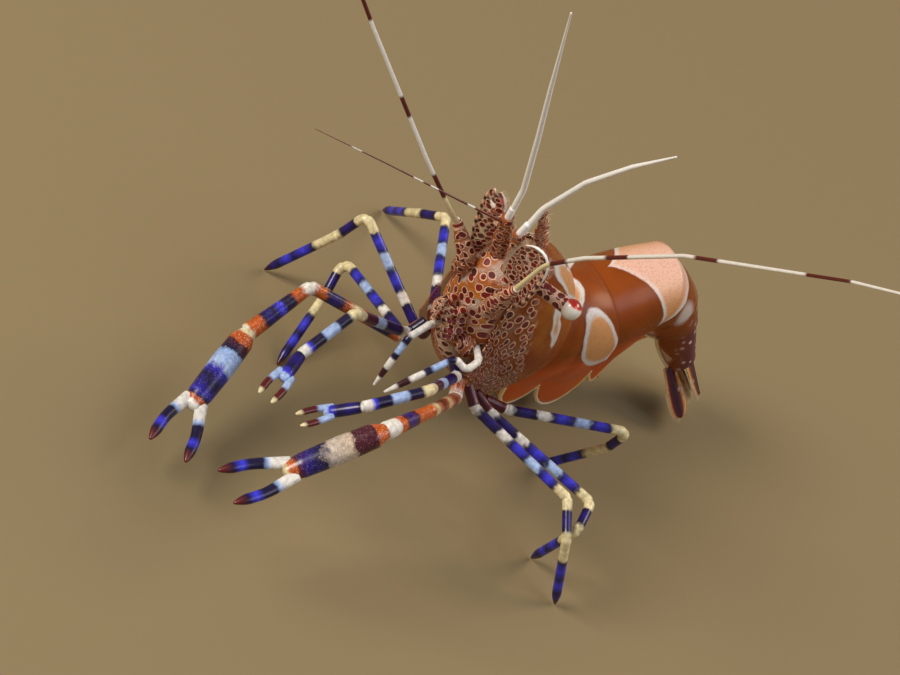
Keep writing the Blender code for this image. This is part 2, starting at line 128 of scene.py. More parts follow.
# %% [markdown]
# ## Skins and their chart
#
# Almost every part of a shrimp is a tube that changes its girth. So one helper skins a row
# of rings. It also lays a chart on the skin, a UV map counted in millimetres: its first
# number runs along the part and its second runs round it. Spots, bands and pits are drawn on
# the chart at their real size, and they follow the part wherever it bends. A second value
# called stage counts the joints passed, so one set of bands fits legs of any length.

# %% Skinning rings of points
def piece_of(name, verts, faces, material):
    """A new piece from points in mm."""
    mesh = bpy.data.meshes.new(name)
    mesh.from_pydata([(point + SLIDE) * MM for point in verts], [], faces)
    mesh.materials.append(material)
    piece = bpy.data.objects.new(name, mesh)
    bpy.context.scene.collection.objects.link(piece)
    return piece


def skin(name, rings, along, material, stages=None, wrap=True, tips=("flat", "flat"), faces_out=True):
    """Joins rings of points. A tip is None for an open end, flat, or the point that closes it."""
    count = len(rings[0])
    verts = [point for ring in rings for point in ring]
    stage = []
    for value in stages or along:
        stage += value if isinstance(value, list) else [value] * count
    arcs = []
    for ring in rings:
        arc = [0.0]
        for i in range(count):
            arc.append(arc[-1] + (ring[(i + 1) % count] - ring[i]).length)
        half = (arc[-1] if wrap else arc[-2]) / 2
        arcs.append([value - half for value in arc])
    faces = []
    chart = []
    for r in range(len(rings) - 1):
        for i in range(count if wrap else count - 1):
            j = (i + 1) % count
            faces.append((r * count + i, r * count + j, (r + 1) * count + j, (r + 1) * count + i))
            chart += [(along[r], arcs[r][i]), (along[r], arcs[r][i + 1]),
                      (along[r + 1], arcs[r + 1][i + 1]), (along[r + 1], arcs[r + 1][i])]
    for end, tip in ((0, tips[0]), (len(rings) - 1, tips[1])):
        if tip is None:
            continue
        verts.append(sum(rings[end], Vector()) / count if tip == "flat" else tip)
        stage.append(max(stage[end * count:end * count + count]))
        for i in range(count):
            corner = (end * count + i, end * count + (i + 1) % count, len(verts) - 1)
            uv = [(along[end], arcs[end][i]), (along[end], arcs[end][i + 1]), (along[end], 0.0)]
            faces.append(corner if end else corner[::-1])
            chart += uv if end else uv[::-1]
    piece = piece_of(name, verts, faces, material)
    mesh = piece.data
    layer = mesh.uv_layers.new(name="chart")
    layer.data.foreach_set("uv", [value for uv in chart for value in uv])
    mark = mesh.attributes.new("stage", "FLOAT", "POINT")
    mark.data.foreach_set("value", stage)
    if not faces_out:
        mesh.flip_normals()
    mesh.polygons.foreach_set("use_smooth", [True] * len(mesh.polygons))
    return piece


SHELL_THICKNESS = 0.05


def thicken(sheet):
    """Gives a shell sheet the thickness of real chitin."""
    shell = sheet.modifiers.new("shell", "SOLIDIFY")
    shell.thickness = SHELL_THICKNESS * MM
    shell.offset = -1


def settle(piece, slot, *nodes):
    """Hangs a finished piece on the body and lets it stand for its plain solids."""
    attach(piece, "root")
    if nodes:
        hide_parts(*nodes)


# %% [markdown]
# ## Limbs as bent tubes
#
# A limb is drawn as its joints, in order. The corners are rounded by arcs, as the soft skin
# of a real joint does, and the line is then walked in even steps. At each joint the tube
# flares a little and then narrows sharply, which is how the rim of one shell segment
# overlaps the next. A skinned line was chosen over a bevelled curve because it can carry the
# chart and the pinched joints.

# %% Rounding the corners and walking the line
def rounded(points, bend):
    """The line with round corners, its lengths, and how far along it each corner lies."""
    line = [points[0]]
    corners = []
    for before, corner, after in zip(points[:-2], points[1:-1], points[2:]):
        a = before - corner
        b = after - corner
        turn = math.pi - a.angle(b)
        if turn < math.radians(3):
            line.append(corner)
            corners.append(len(line) - 1)
            continue
        reach = min(bend * math.tan(turn / 2), 0.45 * a.length, 0.45 * b.length)
        radius = reach / math.tan(turn / 2)
        a.normalize()
        b.normalize()
        centre = corner + (a + b).normalized() * (radius / math.cos(turn / 2))
        start = (corner + a * reach - centre).normalized()
        stop = (corner + b * reach - centre).normalized()
        steps = max(4, int(turn / math.radians(7)))
        corners.append(len(line) + steps // 2)
        line += [centre + start.slerp(stop, k / steps) * radius for k in range(steps + 1)]
    line.append(points[-1])
    lengths = [0.0]
    for a, b in zip(line[:-1], line[1:]):
        lengths.append(lengths[-1] + (b - a).length)
    return line, lengths, [lengths[k] for k in corners]


def between(knots, values, at):
    """The value at a place on a row of knots."""
    if at <= knots[0]:
        return values[0]
    for k in range(len(knots) - 1):
        if at <= knots[k + 1]:
            share = (at - knots[k]) / max(1e-9, knots[k + 1] - knots[k])
            return values[k] + (values[k + 1] - values[k]) * share
    return values[-1]


SMOOTH = {"knuckle": 0, "pinch": 0}     # for a part that has no joints
FLARE_LENGTH = 0.16
PINCH_LENGTH = 0.045


def limb(name, points, girths, material, slot, *nodes, bend=0.3, step=0.05, sides=16, press=None,
         knuckle=0.14, pinch=0.24, end=0.5, blunt=0.0, even=False):
    """A jointed tube that stands for the nodes. girths has a radius for each joint, and press =
    (normal, ratio) flattens it. blunt is the length at the far end over which the last girth is
    reached, and even makes the stage run with the length instead of the joints."""
    line, lengths, corners = rounded([Vector(p) for p in points], bend)
    total = lengths[-1]
    knots = [0.0, *corners, total]
    if len(girths) == 1:
        girths = girths * len(knots)
    count = max(8, int(total / step))
    rings = []
    along = [total * n / count for n in range(count + 1)]
    stages = []
    spot = 0
    side = None
    for s in along:
        while spot < len(lengths) - 2 and lengths[spot + 1] < s:
            spot += 1
        stretch = line[spot + 1] - line[spot]
        share = (s - lengths[spot]) / max(1e-9, lengths[spot + 1] - lengths[spot])
        place = line[spot] + stretch * share
        ahead = stretch.normalized()
        if side is None:
            side = ahead.cross(press[0]) if press else ahead.orthogonal()
        side = (side - ahead * side.dot(ahead)).normalized()
        other = ahead.cross(side)
        radius = between(knots, girths, s)
        if blunt:
            full = between(knots, [*girths[:-1], girths[-2]], s)
            closing = max(0.0, (s - total + blunt) / blunt)
            radius = full + (girths[-1] - full) * closing ** 1.7
        for corner in corners:
            radius *= 1 + knuckle * hump(s - corner, FLARE_LENGTH) - pinch * hump(s - corner, PINCH_LENGTH)
        ratio = press[1] if press else 1.0
        rings.append([place + (side * cosine + other * (sine * ratio)) * radius
                      for cosine, sine in circle(sides)])
        passed = between(knots, list(range(len(knots))), s) / (len(knots) - 1)
        stages.append(s / total if even else passed)
    finish_at = line[-1] + (line[-1] - line[-2]).normalized() * girths[-1] * end
    settle(skin(name, rings, along, material, stages, tips=("flat", finish_at)), slot, *nodes)


# %% [markdown]
# ## Finishes
#
# Every finish is built from nodes. Colours are written as sRGB hex values, and one function
# turns them to the linear values that the shader needs.
# One more function adds a node with its settings and its links. The size of a noise or of
# cells is given as how many go to a millimetre, such as 1.8 / MM.

# %% Colour and node helpers
def paint(code):
    """sRGB hex to linear."""
    parts = [int(code[k:k + 2], 16) / 255 for k in (1, 3, 5)]
    return (*[p / 12.92 if p <= 0.04045 else ((p + 0.055) / 1.055) ** 2.4 for p in parts], 1.0)


def fill(tree, node, sockets):
    """Fills sockets, listed in order or by name, with values, outputs or whole nodes. A node
    stands for its first output in use."""
    for socket, value in sockets.items() if isinstance(sockets, dict) else enumerate(sockets):
        if isinstance(value, bpy.types.Node):
            value = next(output for output in value.outputs if output.enabled)
        if isinstance(value, bpy.types.NodeSocket):
            tree.links.new(value, node.inputs[socket])
        else:
            node.inputs[socket].default_value = value


def add(tree, kind, sockets=(), **settings):
    """Adds one node, sets it and fills its sockets."""
    node = tree.nodes.new("ShaderNode" + kind)
    for key, value in settings.items():
        setattr(node, key, value)
    fill(tree, node, sockets)
    return node


def finish(name):
    material = bpy.data.materials.new(name)
    material.use_nodes = True
    tree = material.node_tree
    return material, tree, tree.nodes["Principled BSDF"], add(tree, "TexCoord").outputs["Object"]


def stops(ramp, bands, joints=1):
    """Fills a colour ramp. A band is a place, or its start and end, and then its colour."""
    row = [(place / joints, code) for *places, code in bands for place in places]
    elements = ramp.color_ramp.elements
    while len(elements) > 1:
        elements.remove(elements[-1])
    elements[0].position = row[0][0]
    elements[0].color = paint(row[0][1])
    for place, code in row[1:]:
        elements.new(place).color = paint(code)
    return ramp


SOFT_EDGE = {"interpolation_type": "SMOOTHSTEP"}


# %% [markdown]
# ### Patches on the chart
#
# Shells of this animal carry large tan patches with a pale rim. A patch is an oval on the
# chart: its place along the part and round from the mid-line, its two half sizes and its
# tilt. The distance to the nearest patch edge, in mm, is all that a finish needs, and a
# little noise on it keeps the edge from looking drawn. The mid-line is mirrored, because the
# markings of both flanks match.

# %% Distance to a patch
def patch_gap(tree, chart, cloud, patches, nearest=None):
    """Signed distance in mm to the nearest patch, negative inside. It may start from the
    distance to another shape."""
    parts = add(tree, "SeparateXYZ", [chart])
    across = add(tree, "Math", [parts.outputs[1]], operation="ABSOLUTE")
    flat = add(tree, "CombineXYZ", [parts.outputs[0], across])
    for along, around, half_length, half_width, tilt in patches:
        oval_chart = add(tree, "Mapping", [flat, (along, around, 0), (0, 0, math.radians(tilt)),
                                           (half_length, half_width, 1)], vector_type="TEXTURE")
        reach = add(tree, "VectorMath", [oval_chart], operation="LENGTH")
        gap = add(tree, "Math", [reach, 1.0], operation="SUBTRACT")
        gap = add(tree, "Math", [gap, min(half_length, half_width)], operation="MULTIPLY")
        nearest = add(tree, "Math", [nearest, gap], operation="MINIMUM") if nearest else gap
    wave = add(tree, "Math", [cloud, 0.20, -0.10], operation="MULTIPLY_ADD")
    return add(tree, "Math", [nearest, wave], operation="ADD")


def patch_colour(tree, gap, rim_width):
    """Tan in the middle of a patch and bluish white towards its edge."""
    core = add(tree, "MapRange", [gap, -rim_width * 0.6, -rim_width * 1.5], **SOFT_EDGE)
    return add(tree, "Mix", {0: core, 6: paint("#E4E0DC"), 7: paint("#DFA066")}, data_type="RGBA")


# %% [markdown]
# ### Spotted chitin
#
# The head shell is clear chitin, hardened from inside and polished by water, with round
# maroon pigment spots that each have a pale pink rim. A Voronoi texture gives one spot to a
# cell. Cells are about 0.4 mm apart and the spots 0.25 mm across. Between the spots the
# shell is partly transparent, so the orange flesh below shows. On the head shell the spots
# stop at a line that falls from the eyes to the cheeks, and behind it the shell is clear.
# Chitin has an IOR of about 1.5. The shell is smooth but pitted, and the face is rougher.

# %% The spotted finish
MAROON = "#46060A"
BLOOD = "#8C160F"
RIM = "#F2C4A6"
MILK = "#CDBDB2"
AMBER = ("#A84C06", "#C47824")
RING_WIDTH = 0.08           # of a cell
CHEEK_START = 6.1
CHEEK_FALL = 0.0135         # mm back for the distance from the mid-line, to the power below
CHEEK_POWER = 3.9
CHEST_PATCHES = ((3.7, 2.5, 1.35, 0.22, -20), (4.30, 1.00, 1.70, 0.48, -6), (1.0, 0.0, 1.6, 0.95, 0))


def cheek_zone(tree, parts, cloud):
    """1 in front of the ragged cheek line and 0 behind it, and 0 on most of the right cheek."""
    across = add(tree, "Math", [parts.outputs[1]], operation="ABSOLUTE")
    fall = add(tree, "Math", [across, CHEEK_POWER], operation="POWER")
    ahead = add(tree, "Math", [fall, CHEEK_FALL, parts.outputs[0]], operation="MULTIPLY_ADD")
    ragged = add(tree, "Math", [cloud, 0.9, ahead], operation="MULTIPLY_ADD")
    zone = add(tree, "MapRange", [ragged, CHEEK_START + 0.15, CHEEK_START + 0.55])
    flank = add(tree, "MapRange", [parts.outputs[1], 2.7, 1.9])
    return add(tree, "Math", [zone, flank], operation="MULTIPLY")


def spotted_chitin(name, cell, core=(0.24, 0.36), ground=AMBER, clear=0.35, cheeks=False, bare=False):
    """Ringed spots, cell mm apart; cheeks ends them at a line, bare drops them where stage is 0."""
    material, tree, shader, place = finish(name)
    chart = add(tree, "UVMap", uv_map="chart")
    wander = add(tree, "TexNoise", {"Vector": place, "Scale": 1.8 / MM, "Detail": 1.0})
    shift = add(tree, "VectorMath", [wander.outputs["Color"], (0.5, 0.5, 0.5)], operation="SUBTRACT")
    sway = add(tree, "VectorMath", {0: shift, "Scale": cell * 0.4}, operation="SCALE")
    moved = add(tree, "VectorMath", [chart, sway], operation="ADD")
    cells = add(tree, "TexVoronoi", {"Vector": moved, "Scale": 1 / cell, "Randomness": 0.7 if bare else 0.55},
                voronoi_dimensions="2D")
    chance = add(tree, "SeparateColor", [cells.outputs["Color"]])
    radius = add(tree, "MapRange", {0: chance.outputs[0], 3: core[0], 4: core[1]})
    gap = add(tree, "Math", [cells, radius], operation="SUBTRACT")
    spot = add(tree, "MapRange", [gap, 0.03, -0.02], **SOFT_EDGE)
    ring = add(tree, "MapRange", [gap, RING_WIDTH * 1.6, RING_WIDTH], **SOFT_EDGE)
    cloud = add(tree, "TexNoise", {"Vector": place, "Scale": 0.9 / MM, "Detail": 3.0})
    keep = None
    if bare:
        keep = add(tree, "Attribute", attribute_name="stage").outputs["Fac"]
    if cheeks:
        keep = cheek_zone(tree, add(tree, "SeparateXYZ", [chart]), cloud)
    spread = add(tree, "MapRange", [cloud, 0.42, 0.66])
    base = add(tree, "Mix", {0: spread, 6: paint(ground[0]), 7: paint(ground[1])}, data_type="RGBA")
    if keep:
        spot = add(tree, "Math", [spot, keep], operation="MULTIPLY")
        ring = add(tree, "Math", [ring, keep], operation="MULTIPLY")
        veil = add(tree, "TexNoise", {"Vector": place, "Scale": 1.4 / MM, "Detail": 2.0})
        milk = add(tree, "MapRange", {0: veil, 1: 0.47, 2: 0.60, 4: 0.85 if bare else 0.3})
        milk = add(tree, "Math", [milk, keep], operation="MULTIPLY")
        base = add(tree, "Mix", {0: milk, 6: base, 7: paint(MILK)}, data_type="RGBA")
    opaque = ring
    if cheeks:
        edge = patch_gap(tree, chart, cloud, CHEST_PATCHES)
        inside = add(tree, "MapRange", [edge, 0.03, -0.03], **SOFT_EDGE)
        base = add(tree, "Mix", {0: inside, 6: base, 7: patch_colour(tree, edge, 0.12)}, data_type="RGBA")
        faint = add(tree, "Math", [inside, 0.8], operation="MULTIPLY")
        opaque = add(tree, "Math", [ring, faint], operation="MAXIMUM")
    ringed = add(tree, "Mix", {0: ring, 6: base, 7: paint(RIM)}, data_type="RGBA")
    deep = add(tree, "Mix", {0: chance.outputs[1], 6: paint(MAROON), 7: paint(BLOOD)}, data_type="RGBA")
    whole = add(tree, "Mix", {0: spot, 6: ringed, 7: deep}, data_type="RGBA")
    solid = add(tree, "MapRange", {0: opaque, 3: 1.0 - clear, 4: 1.0})
    pits = add(tree, "TexNoise", {"Vector": place, "Scale": 14 / MM, "Detail": 2.0})
    swell = add(tree, "Math", [ring, 0.5, pits], operation="MULTIPLY_ADD")
    bump = add(tree, "Bump", {"Strength": 0.7, "Distance": (0.08 if bare else 0.05) * MM, "Height": swell})
    fill(tree, shader, {"Base Color": whole, "Alpha": solid, "Normal": bump, "IOR": 1.5,
                        "Roughness": 0.5 if bare else 0.36, "Coat Weight": 0.08, "Coat Roughness": 0.2})
    return material


SHELL = spotted_chitin("spotted_shell_chitin", 0.39, clear=0.55, cheeks=True)
SMALL_SPOTS = spotted_chitin("small_spotted_chitin", 0.30, (0.26, 0.40), ("#A9592C", "#C4A084"), 0.1)
LEAF_SPOTS = spotted_chitin("clear_leaf_chitin", 0.30, (0.24, 0.36), ("#C9A488", "#EBDCD0"), 0.88)
STALK_SPOTS = spotted_chitin("eyestalk_chitin", 0.30, (0.34, 0.48), ("#B06A48", "#EEDCCC"), 0.0)
FACE = spotted_chitin("face_chitin", 0.38, (0.20, 0.40), clear=0.0, bare=True)


# %% [markdown]
# ### Banded limb chitin
#
# The limbs are opaque tubes, dark purple with bands of electric blue, white and cream. The
# bright blue and violet peaks in the middle of the dark bands are partly the limbs' own blue and
# partly painted highlight. The bands are one ramp along the stage value. A little noise on that
# value makes the edges wander as pigment does, and a second, finer noise breaks the blue into
# small scales.

# %% The banded finish
NIGHT = "#150838"
# VIOLET and BLUE are set as peaks inside the dark bands; they are partly the limbs' own blue and partly
# painted highlight
VIOLET = "#241078"
BLUE = "#3C3AE0"
ICE = "#A9C2F0"
WHITE = "#EDE9E2"
CREAM = "#EBDCAC"
RUST = "#BE5410"
BROWN = "#7A2E12"
PLUM = "#4A0F22"
SCARLET = "#5A1410"
TAN = "#6E2A18"
GRAINS = 16             # fine pigment grains to a mm


def round_dots(tree, place, apart, reach, share=1.0, randomness=0.8):
    """share on dots that lie apart mm from each other, and 0 between them."""
    cells = add(tree, "TexVoronoi", {"Vector": place, "Scale": 1 / (apart * MM), "Randomness": randomness})
    return add(tree, "MapRange", [cells, *reach, 0.0, share])


def banded_chitin(name, bands, joints=1, speckle=0.25, rough=0.3, wander=0.35, blotch=0.0, stipple=None,
                  dots=None, mottle=0.3):
    """Bands along the stage value. blotch moves them by large irregular steps, stipple = (hex,
    share) strews fine grains, dots = (mm apart, hex) sets round dots, mottle clouds the tone."""
    material, tree, shader, place = finish(name)
    stage = add(tree, "Attribute", attribute_name="stage").outputs["Fac"]
    moved = stage
    # the edges wander in fine swings, and blotches are slower ones
    for swings, share in ((5.2, wander * 0.10 / joints), (1.9, blotch)):
        if share:
            drift = add(tree, "TexNoise", {"Vector": place, "Scale": swings / MM, "Detail": 2.0})
            centred = add(tree, "Math", [drift, 0.5], operation="SUBTRACT")
            moved = add(tree, "Math", [centred, share, moved], operation="MULTIPLY_ADD")
    colour = stops(add(tree, "ValToRGB", [moved]), bands, joints)
    grains = add(tree, "TexVoronoi", {"Vector": place, "Scale": GRAINS / MM})
    grain = add(tree, "MapRange", {0: grains, 1: 0.34, 2: 0.18, 4: speckle})
    colour = add(tree, "Mix", {0: grain, 6: colour, 7: paint("#FFFFFF")},
                 data_type="RGBA", blend_type="SOFT_LIGHT")
    if stipple:
        # the pale grains lie on the light bands and hardly on the dark ones
        code, share = stipple
        lightness = add(tree, "RGBToBW", [colour])
        lit = add(tree, "MapRange", [lightness, 0.02, 0.16, share * 0.2, share])
        strewn = add(tree, "MapRange", {0: grains, 1: 0.40, 2: 0.12, 4: lit})
        colour = add(tree, "Mix", {0: strewn, 6: colour, 7: paint(code)}, data_type="RGBA")
    if dots:
        dot = round_dots(tree, place, dots[0], (0.30, 0.22))
        colour = add(tree, "Mix", {0: dot, 6: colour, 7: paint(dots[1])}, data_type="RGBA")
    cloud = add(tree, "TexNoise", {"Vector": place, "Scale": 7 / MM, "Detail": 3.0})
    shade = add(tree, "MapRange", [cloud, 0.3, 0.7, 1 - mottle, 1 + mottle / 2])
    tinted = add(tree, "Mix", {0: 1.0, 6: colour, 7: shade}, data_type="RGBA", blend_type="MULTIPLY")
    bump = add(tree, "Bump", {"Strength": 0.25, "Distance": 0.02 * MM, "Height": cloud})
    fill(tree, shader, {"Base Color": tinted, "Normal": bump, "IOR": 1.5, "Roughness": rough,
                        "Coat Weight": 0.12, "Coat Roughness": 0.15})
    return material


# each VIOLET or BLUE peak between NIGHT or PLUM stops below is partly the limbs' own blue and partly painted
# highlight
LEG_CHITIN = banded_chitin("purple_leg_chitin", (
    (0.00, 0.90, "#561024"), (0.94, 1.03, WHITE), (1.07, NIGHT), (1.17, VIOLET), (1.25, NIGHT),
    (1.28, 1.35, WHITE), (1.38, NIGHT), (1.47, BLUE), (1.56, NIGHT), (1.59, 1.68, ICE), (1.71, NIGHT),
    (1.79, BLUE), (1.87, NIGHT), (1.90, 2.28, CREAM), (2.34, NIGHT), (2.58, VIOLET), (2.84, NIGHT),
    (2.93, 3.28, CREAM), (3.33, NIGHT), (3.46, BLUE), (3.58, NIGHT), (3.68, BLUE), (3.79, NIGHT),
    (3.87, VIOLET), (3.93, NIGHT), (4.00, "#6A1216")), 4, wander=0.8)
ARM_1_CHITIN = banded_chitin("small_arm_chitin", (
    (0.00, 0.95, NIGHT), (1.02, 1.14, WHITE), (1.18, NIGHT), (1.30, VIOLET), (1.46, NIGHT),
    (1.50, 1.62, ICE), (1.65, 1.84, "#4A1430"), (1.88, 2.07, CREAM), (2.12, 2.30, NIGHT),
    (2.35, 2.56, ICE), (2.60, 2.78, NIGHT), (2.84, BLUE), (2.90, 3.00, WHITE)), 3)
ARM_2_RIGHT = banded_chitin("right_large_arm_chitin", (
    (0.00, BROWN), (0.60, RUST), (1.00, WHITE), (1.05, RUST), (1.15, NIGHT), (1.30, VIOLET),
    (1.42, RUST), (1.52, CREAM), (1.60, RUST), (1.68, NIGHT), (1.75, VIOLET), (1.82, NIGHT),
    (1.86, 1.94, RUST), (1.98, 2.08, WHITE), (2.13, 2.24, RUST), (2.29, 2.40, NIGHT), (2.47, BLUE),
    (2.58, NIGHT), (2.66, VIOLET), (2.74, NIGHT), (2.80, 2.94, RUST), (2.98, CREAM), (3.00, WHITE)),
    3, speckle=0.5, wander=1.2, stipple=(CREAM, 0.30))
ARM_2_LEFT = banded_chitin("left_large_arm_chitin", (
    (0.00, BROWN), (0.60, RUST), (1.00, WHITE), (1.06, RUST), (1.20, PLUM), (1.32, RUST), (1.45, CREAM),
    (1.55, RUST), (1.70, PLUM), (1.80, RUST), (1.96, CREAM), (2.05, 2.38, RUST), (2.42, PLUM),
    (2.55, VIOLET), (2.66, PLUM), (2.70, 2.79, RUST), (2.84, 3.00, WHITE)),
    3, speckle=0.5, wander=1.2, stipple=(CREAM, 0.40))
PALM_1_CHITIN = banded_chitin("small_palm_chitin", (
    (0.0, 0.10, WHITE), (0.16, NIGHT), (0.42, VIOLET), (0.62, NIGHT), (0.78, BLUE), (0.86, 1.0, ICE)),
    wander=0.3)
PALM_2_RIGHT = banded_chitin("right_large_palm_chitin", (
    (0.0, WHITE), (0.10, CREAM), (0.14, 0.27, RUST), (0.30, PLUM), (0.40, NIGHT), (0.43, "#8FAEE4"),
    (0.54, "#A4BCE8"), (0.58, "#2E1EA8"), (0.66, NIGHT), (0.76, "#2E1EA8"), (0.85, NIGHT),
    (0.88, 0.93, RUST), (0.97, 1.0, WHITE)), speckle=0.9, blotch=0.16, stipple=("#F0E8E0", 0.42))
PALM_2_LEFT = banded_chitin("left_large_palm_chitin", (
    (0.0, WHITE), (0.03, 0.20, RUST), (0.24, 0.38, PLUM), (0.42, "#C9B49C"), (0.58, "#C4B4A8"),
    (0.62, NIGHT), (0.72, VIOLET), (0.83, PLUM), (0.87, 0.94, RUST), (1.0, CREAM)),
    speckle=0.9, blotch=0.18, stipple=("#F4E6CE", 0.45))
FINGER_1_CHITIN = banded_chitin("small_finger_chitin", (
    (0.0, 0.36, ICE), (0.46, 0.80, "#5A1014"), (0.9, 1.0, CREAM)), wander=0.2)
FINGER_2_CHITIN = banded_chitin("large_finger_chitin", (
    (0.0, 0.24, WHITE), (0.30, ICE), (0.36, 0.54, NIGHT), (0.66, BLUE), (0.78, NIGHT),
    (0.90, "#5A1014"), (1.0, "#6E1612")), wander=0.3)
MAXILLIPED_BANDS = ((-0.1, WHITE), (0.00, 0.10, NIGHT), (0.14, 0.30, ICE), (0.34, 0.42, NIGHT),
                    (0.46, 0.62, WHITE), (0.66, 0.80, "#3A0C1C"), (0.84, 1.0, WHITE))
# the bands lie on the last joint; the joints before it are white
MAXILLIPED_CHITIN = {side: banded_chitin(side + "_maxilliped_chitin", [
    (*[last + at for at in places], code) for *places, code in MAXILLIPED_BANDS], last + 1)
    for side, last in (("right", 2), ("left", 3))}
FEELER_WHITE = banded_chitin("white_feeler_chitin", ((0.0, "#FAF8F4"), (1.0, "#FFFFFF")),
                             speckle=0.0, rough=0.35, mottle=0.05)
ANTENNA_LENGTH = {"left": 25.31, "right": 25.07}
# each dark band of a long feeler as (start, end) in mm from its stem
ANTENNA_DARK = {
    "left": ((2.6, 3.45), (5.45, 6.55), (9.9, 11.05), (15.25, 17.3), (20.4, 21.5), (23.6, 24.4)),
    "right": ((1.5, 2.5), (4.75, 5.55), (8.4, 9.5), (12.6, 13.8), (17.6, 18.8), (22.4, 23.3)),
}
ANTENNA_CHITIN = {}
for side, dark in ANTENNA_DARK.items():
    bands = [(0.0, CREAM)]
    for start, end in dark:
        bands += [(start - 0.03, CREAM if start < 3 else WHITE), (start, end, SCARLET), (end + 0.03, WHITE)]
    ANTENNA_CHITIN[side] = banded_chitin(side + "_antenna_chitin", bands, ANTENNA_LENGTH[side],
                                         speckle=0.0, rough=0.35, wander=0.0, mottle=0.08)
RINGED = banded_chitin("ringed_stem_chitin", (
    (0.00, 0.14, MAROON), (0.20, 0.30, RIM), (0.36, 0.46, BLOOD), (0.52, 0.60, RIM),
    (0.66, 0.78, MAROON), (0.84, RIM), (1.0, "#FFF4EC")), speckle=0.3, wander=0.5)
# the short white bands along this dark whip are painted glints
WHISKER = banded_chitin("dark_whisker_chitin", (
    (0.0, 0.16, TAN), (0.17, 0.20, WHITE), (0.21, 0.36, SCARLET), (0.37, 0.40, WHITE),
    (0.41, 0.44, SCARLET), (0.45, 0.49, WHITE), (0.50, 0.76, SCARLET), (0.77, 0.81, WHITE),
    (0.82, 1.0, TAN)), speckle=0.0, wander=0.0, mottle=0.1)
DOTTED_EDGE = banded_chitin("dotted_edge_chitin", [
    (n / 30, (MAROON, RIM)[(n // 2) % 2]) for n in range(31)], speckle=0.2, wander=0.4)
print("finishes so far:", len(bpy.data.materials))


# %% [markdown]
# ### Flesh, clear tail shell and tail fan
#
# The flesh under the shell is soft, orange and translucent, so it scatters light below its
# surface. The tail shell over it is clear amber, with opaque tan patches that have a white
# rim. The patches are ovals on the chart, and the largest is a saddle that narrows down each
# flank between two curved margins.

# %% Flesh
def soft_flesh(name, light, dark):
    material, tree, shader, place = finish(name)
    cloud = add(tree, "TexNoise", {"Vector": place, "Scale": 0.7 / MM, "Detail": 4.0})
    spread = add(tree, "MapRange", [cloud, 0.35, 0.65])
    tone = add(tree, "Mix", {0: spread, 6: paint(dark), 7: paint(light)}, data_type="RGBA")
    bump = add(tree, "Bump", {"Strength": 0.3, "Distance": 0.06 * MM, "Height": cloud})
    fill(tree, shader, {"Base Color": tone, "Normal": bump, "IOR": 1.4, "Roughness": 0.35,
                        "Subsurface Weight": 0.5, "Subsurface Radius": (1.0, 0.35, 0.1),
                        "Subsurface Scale": 0.8 * MM})
    return material


FLESH = soft_flesh("orange_flesh", "#DA7016", "#A2480A")
PALE_FLESH = soft_flesh("swimming_limb_flesh", "#E8923C", "#C05E16")


# %% Clear tail shell with tan patches and a saddle
# each patch: place along the tail and round from the back in mm, half length, half width, tilt
TAIL_PATCHES = ((0.35, 0.0, 1.5, 0.85, 0), (2.25, 2.2, 1.5, 0.74, 67))
BLOB = (6.35, 1.25, 0.42, 0.40, 0)
# the saddle starts and ends at these places on the back, and narrows to its tip down each flank
SADDLE_START = 3.3
SADDLE_END = 5.8
SADDLE_TIP = 5.2
SADDLE_REACH = 3.15
SADDLE_SHIFT = 0.45     # the twist of the tail carries the saddle this far to the right
STAIN = (6.8, 8.0)      # purple pigment grows between these places along the tail
STAIN_SWAY = 1.6        # mm that a cloud shifts them back and forth


def saddle_gap(tree, parts):
    """Distance in mm to the saddle along the tail, negative inside."""
    aside = add(tree, "Math", [parts.outputs[1], SADDLE_SHIFT], operation="SUBTRACT")
    aside = add(tree, "Math", [aside], operation="ABSOLUTE")
    down = add(tree, "Math", [aside, SADDLE_REACH], operation="DIVIDE")
    margins = []
    for start, power in ((SADDLE_START, 0.75), (SADDLE_END, 4.0)):
        curve = add(tree, "Math", [down, power], operation="POWER")
        margins.append(add(tree, "Math", [curve, SADDLE_TIP - start, start], operation="MULTIPLY_ADD"))
    front = add(tree, "Math", [margins[0], parts.outputs[0]], operation="SUBTRACT")
    hind = add(tree, "Math", [parts.outputs[0], margins[1]], operation="SUBTRACT")
    return add(tree, "Math", [front, hind], operation="MAXIMUM")


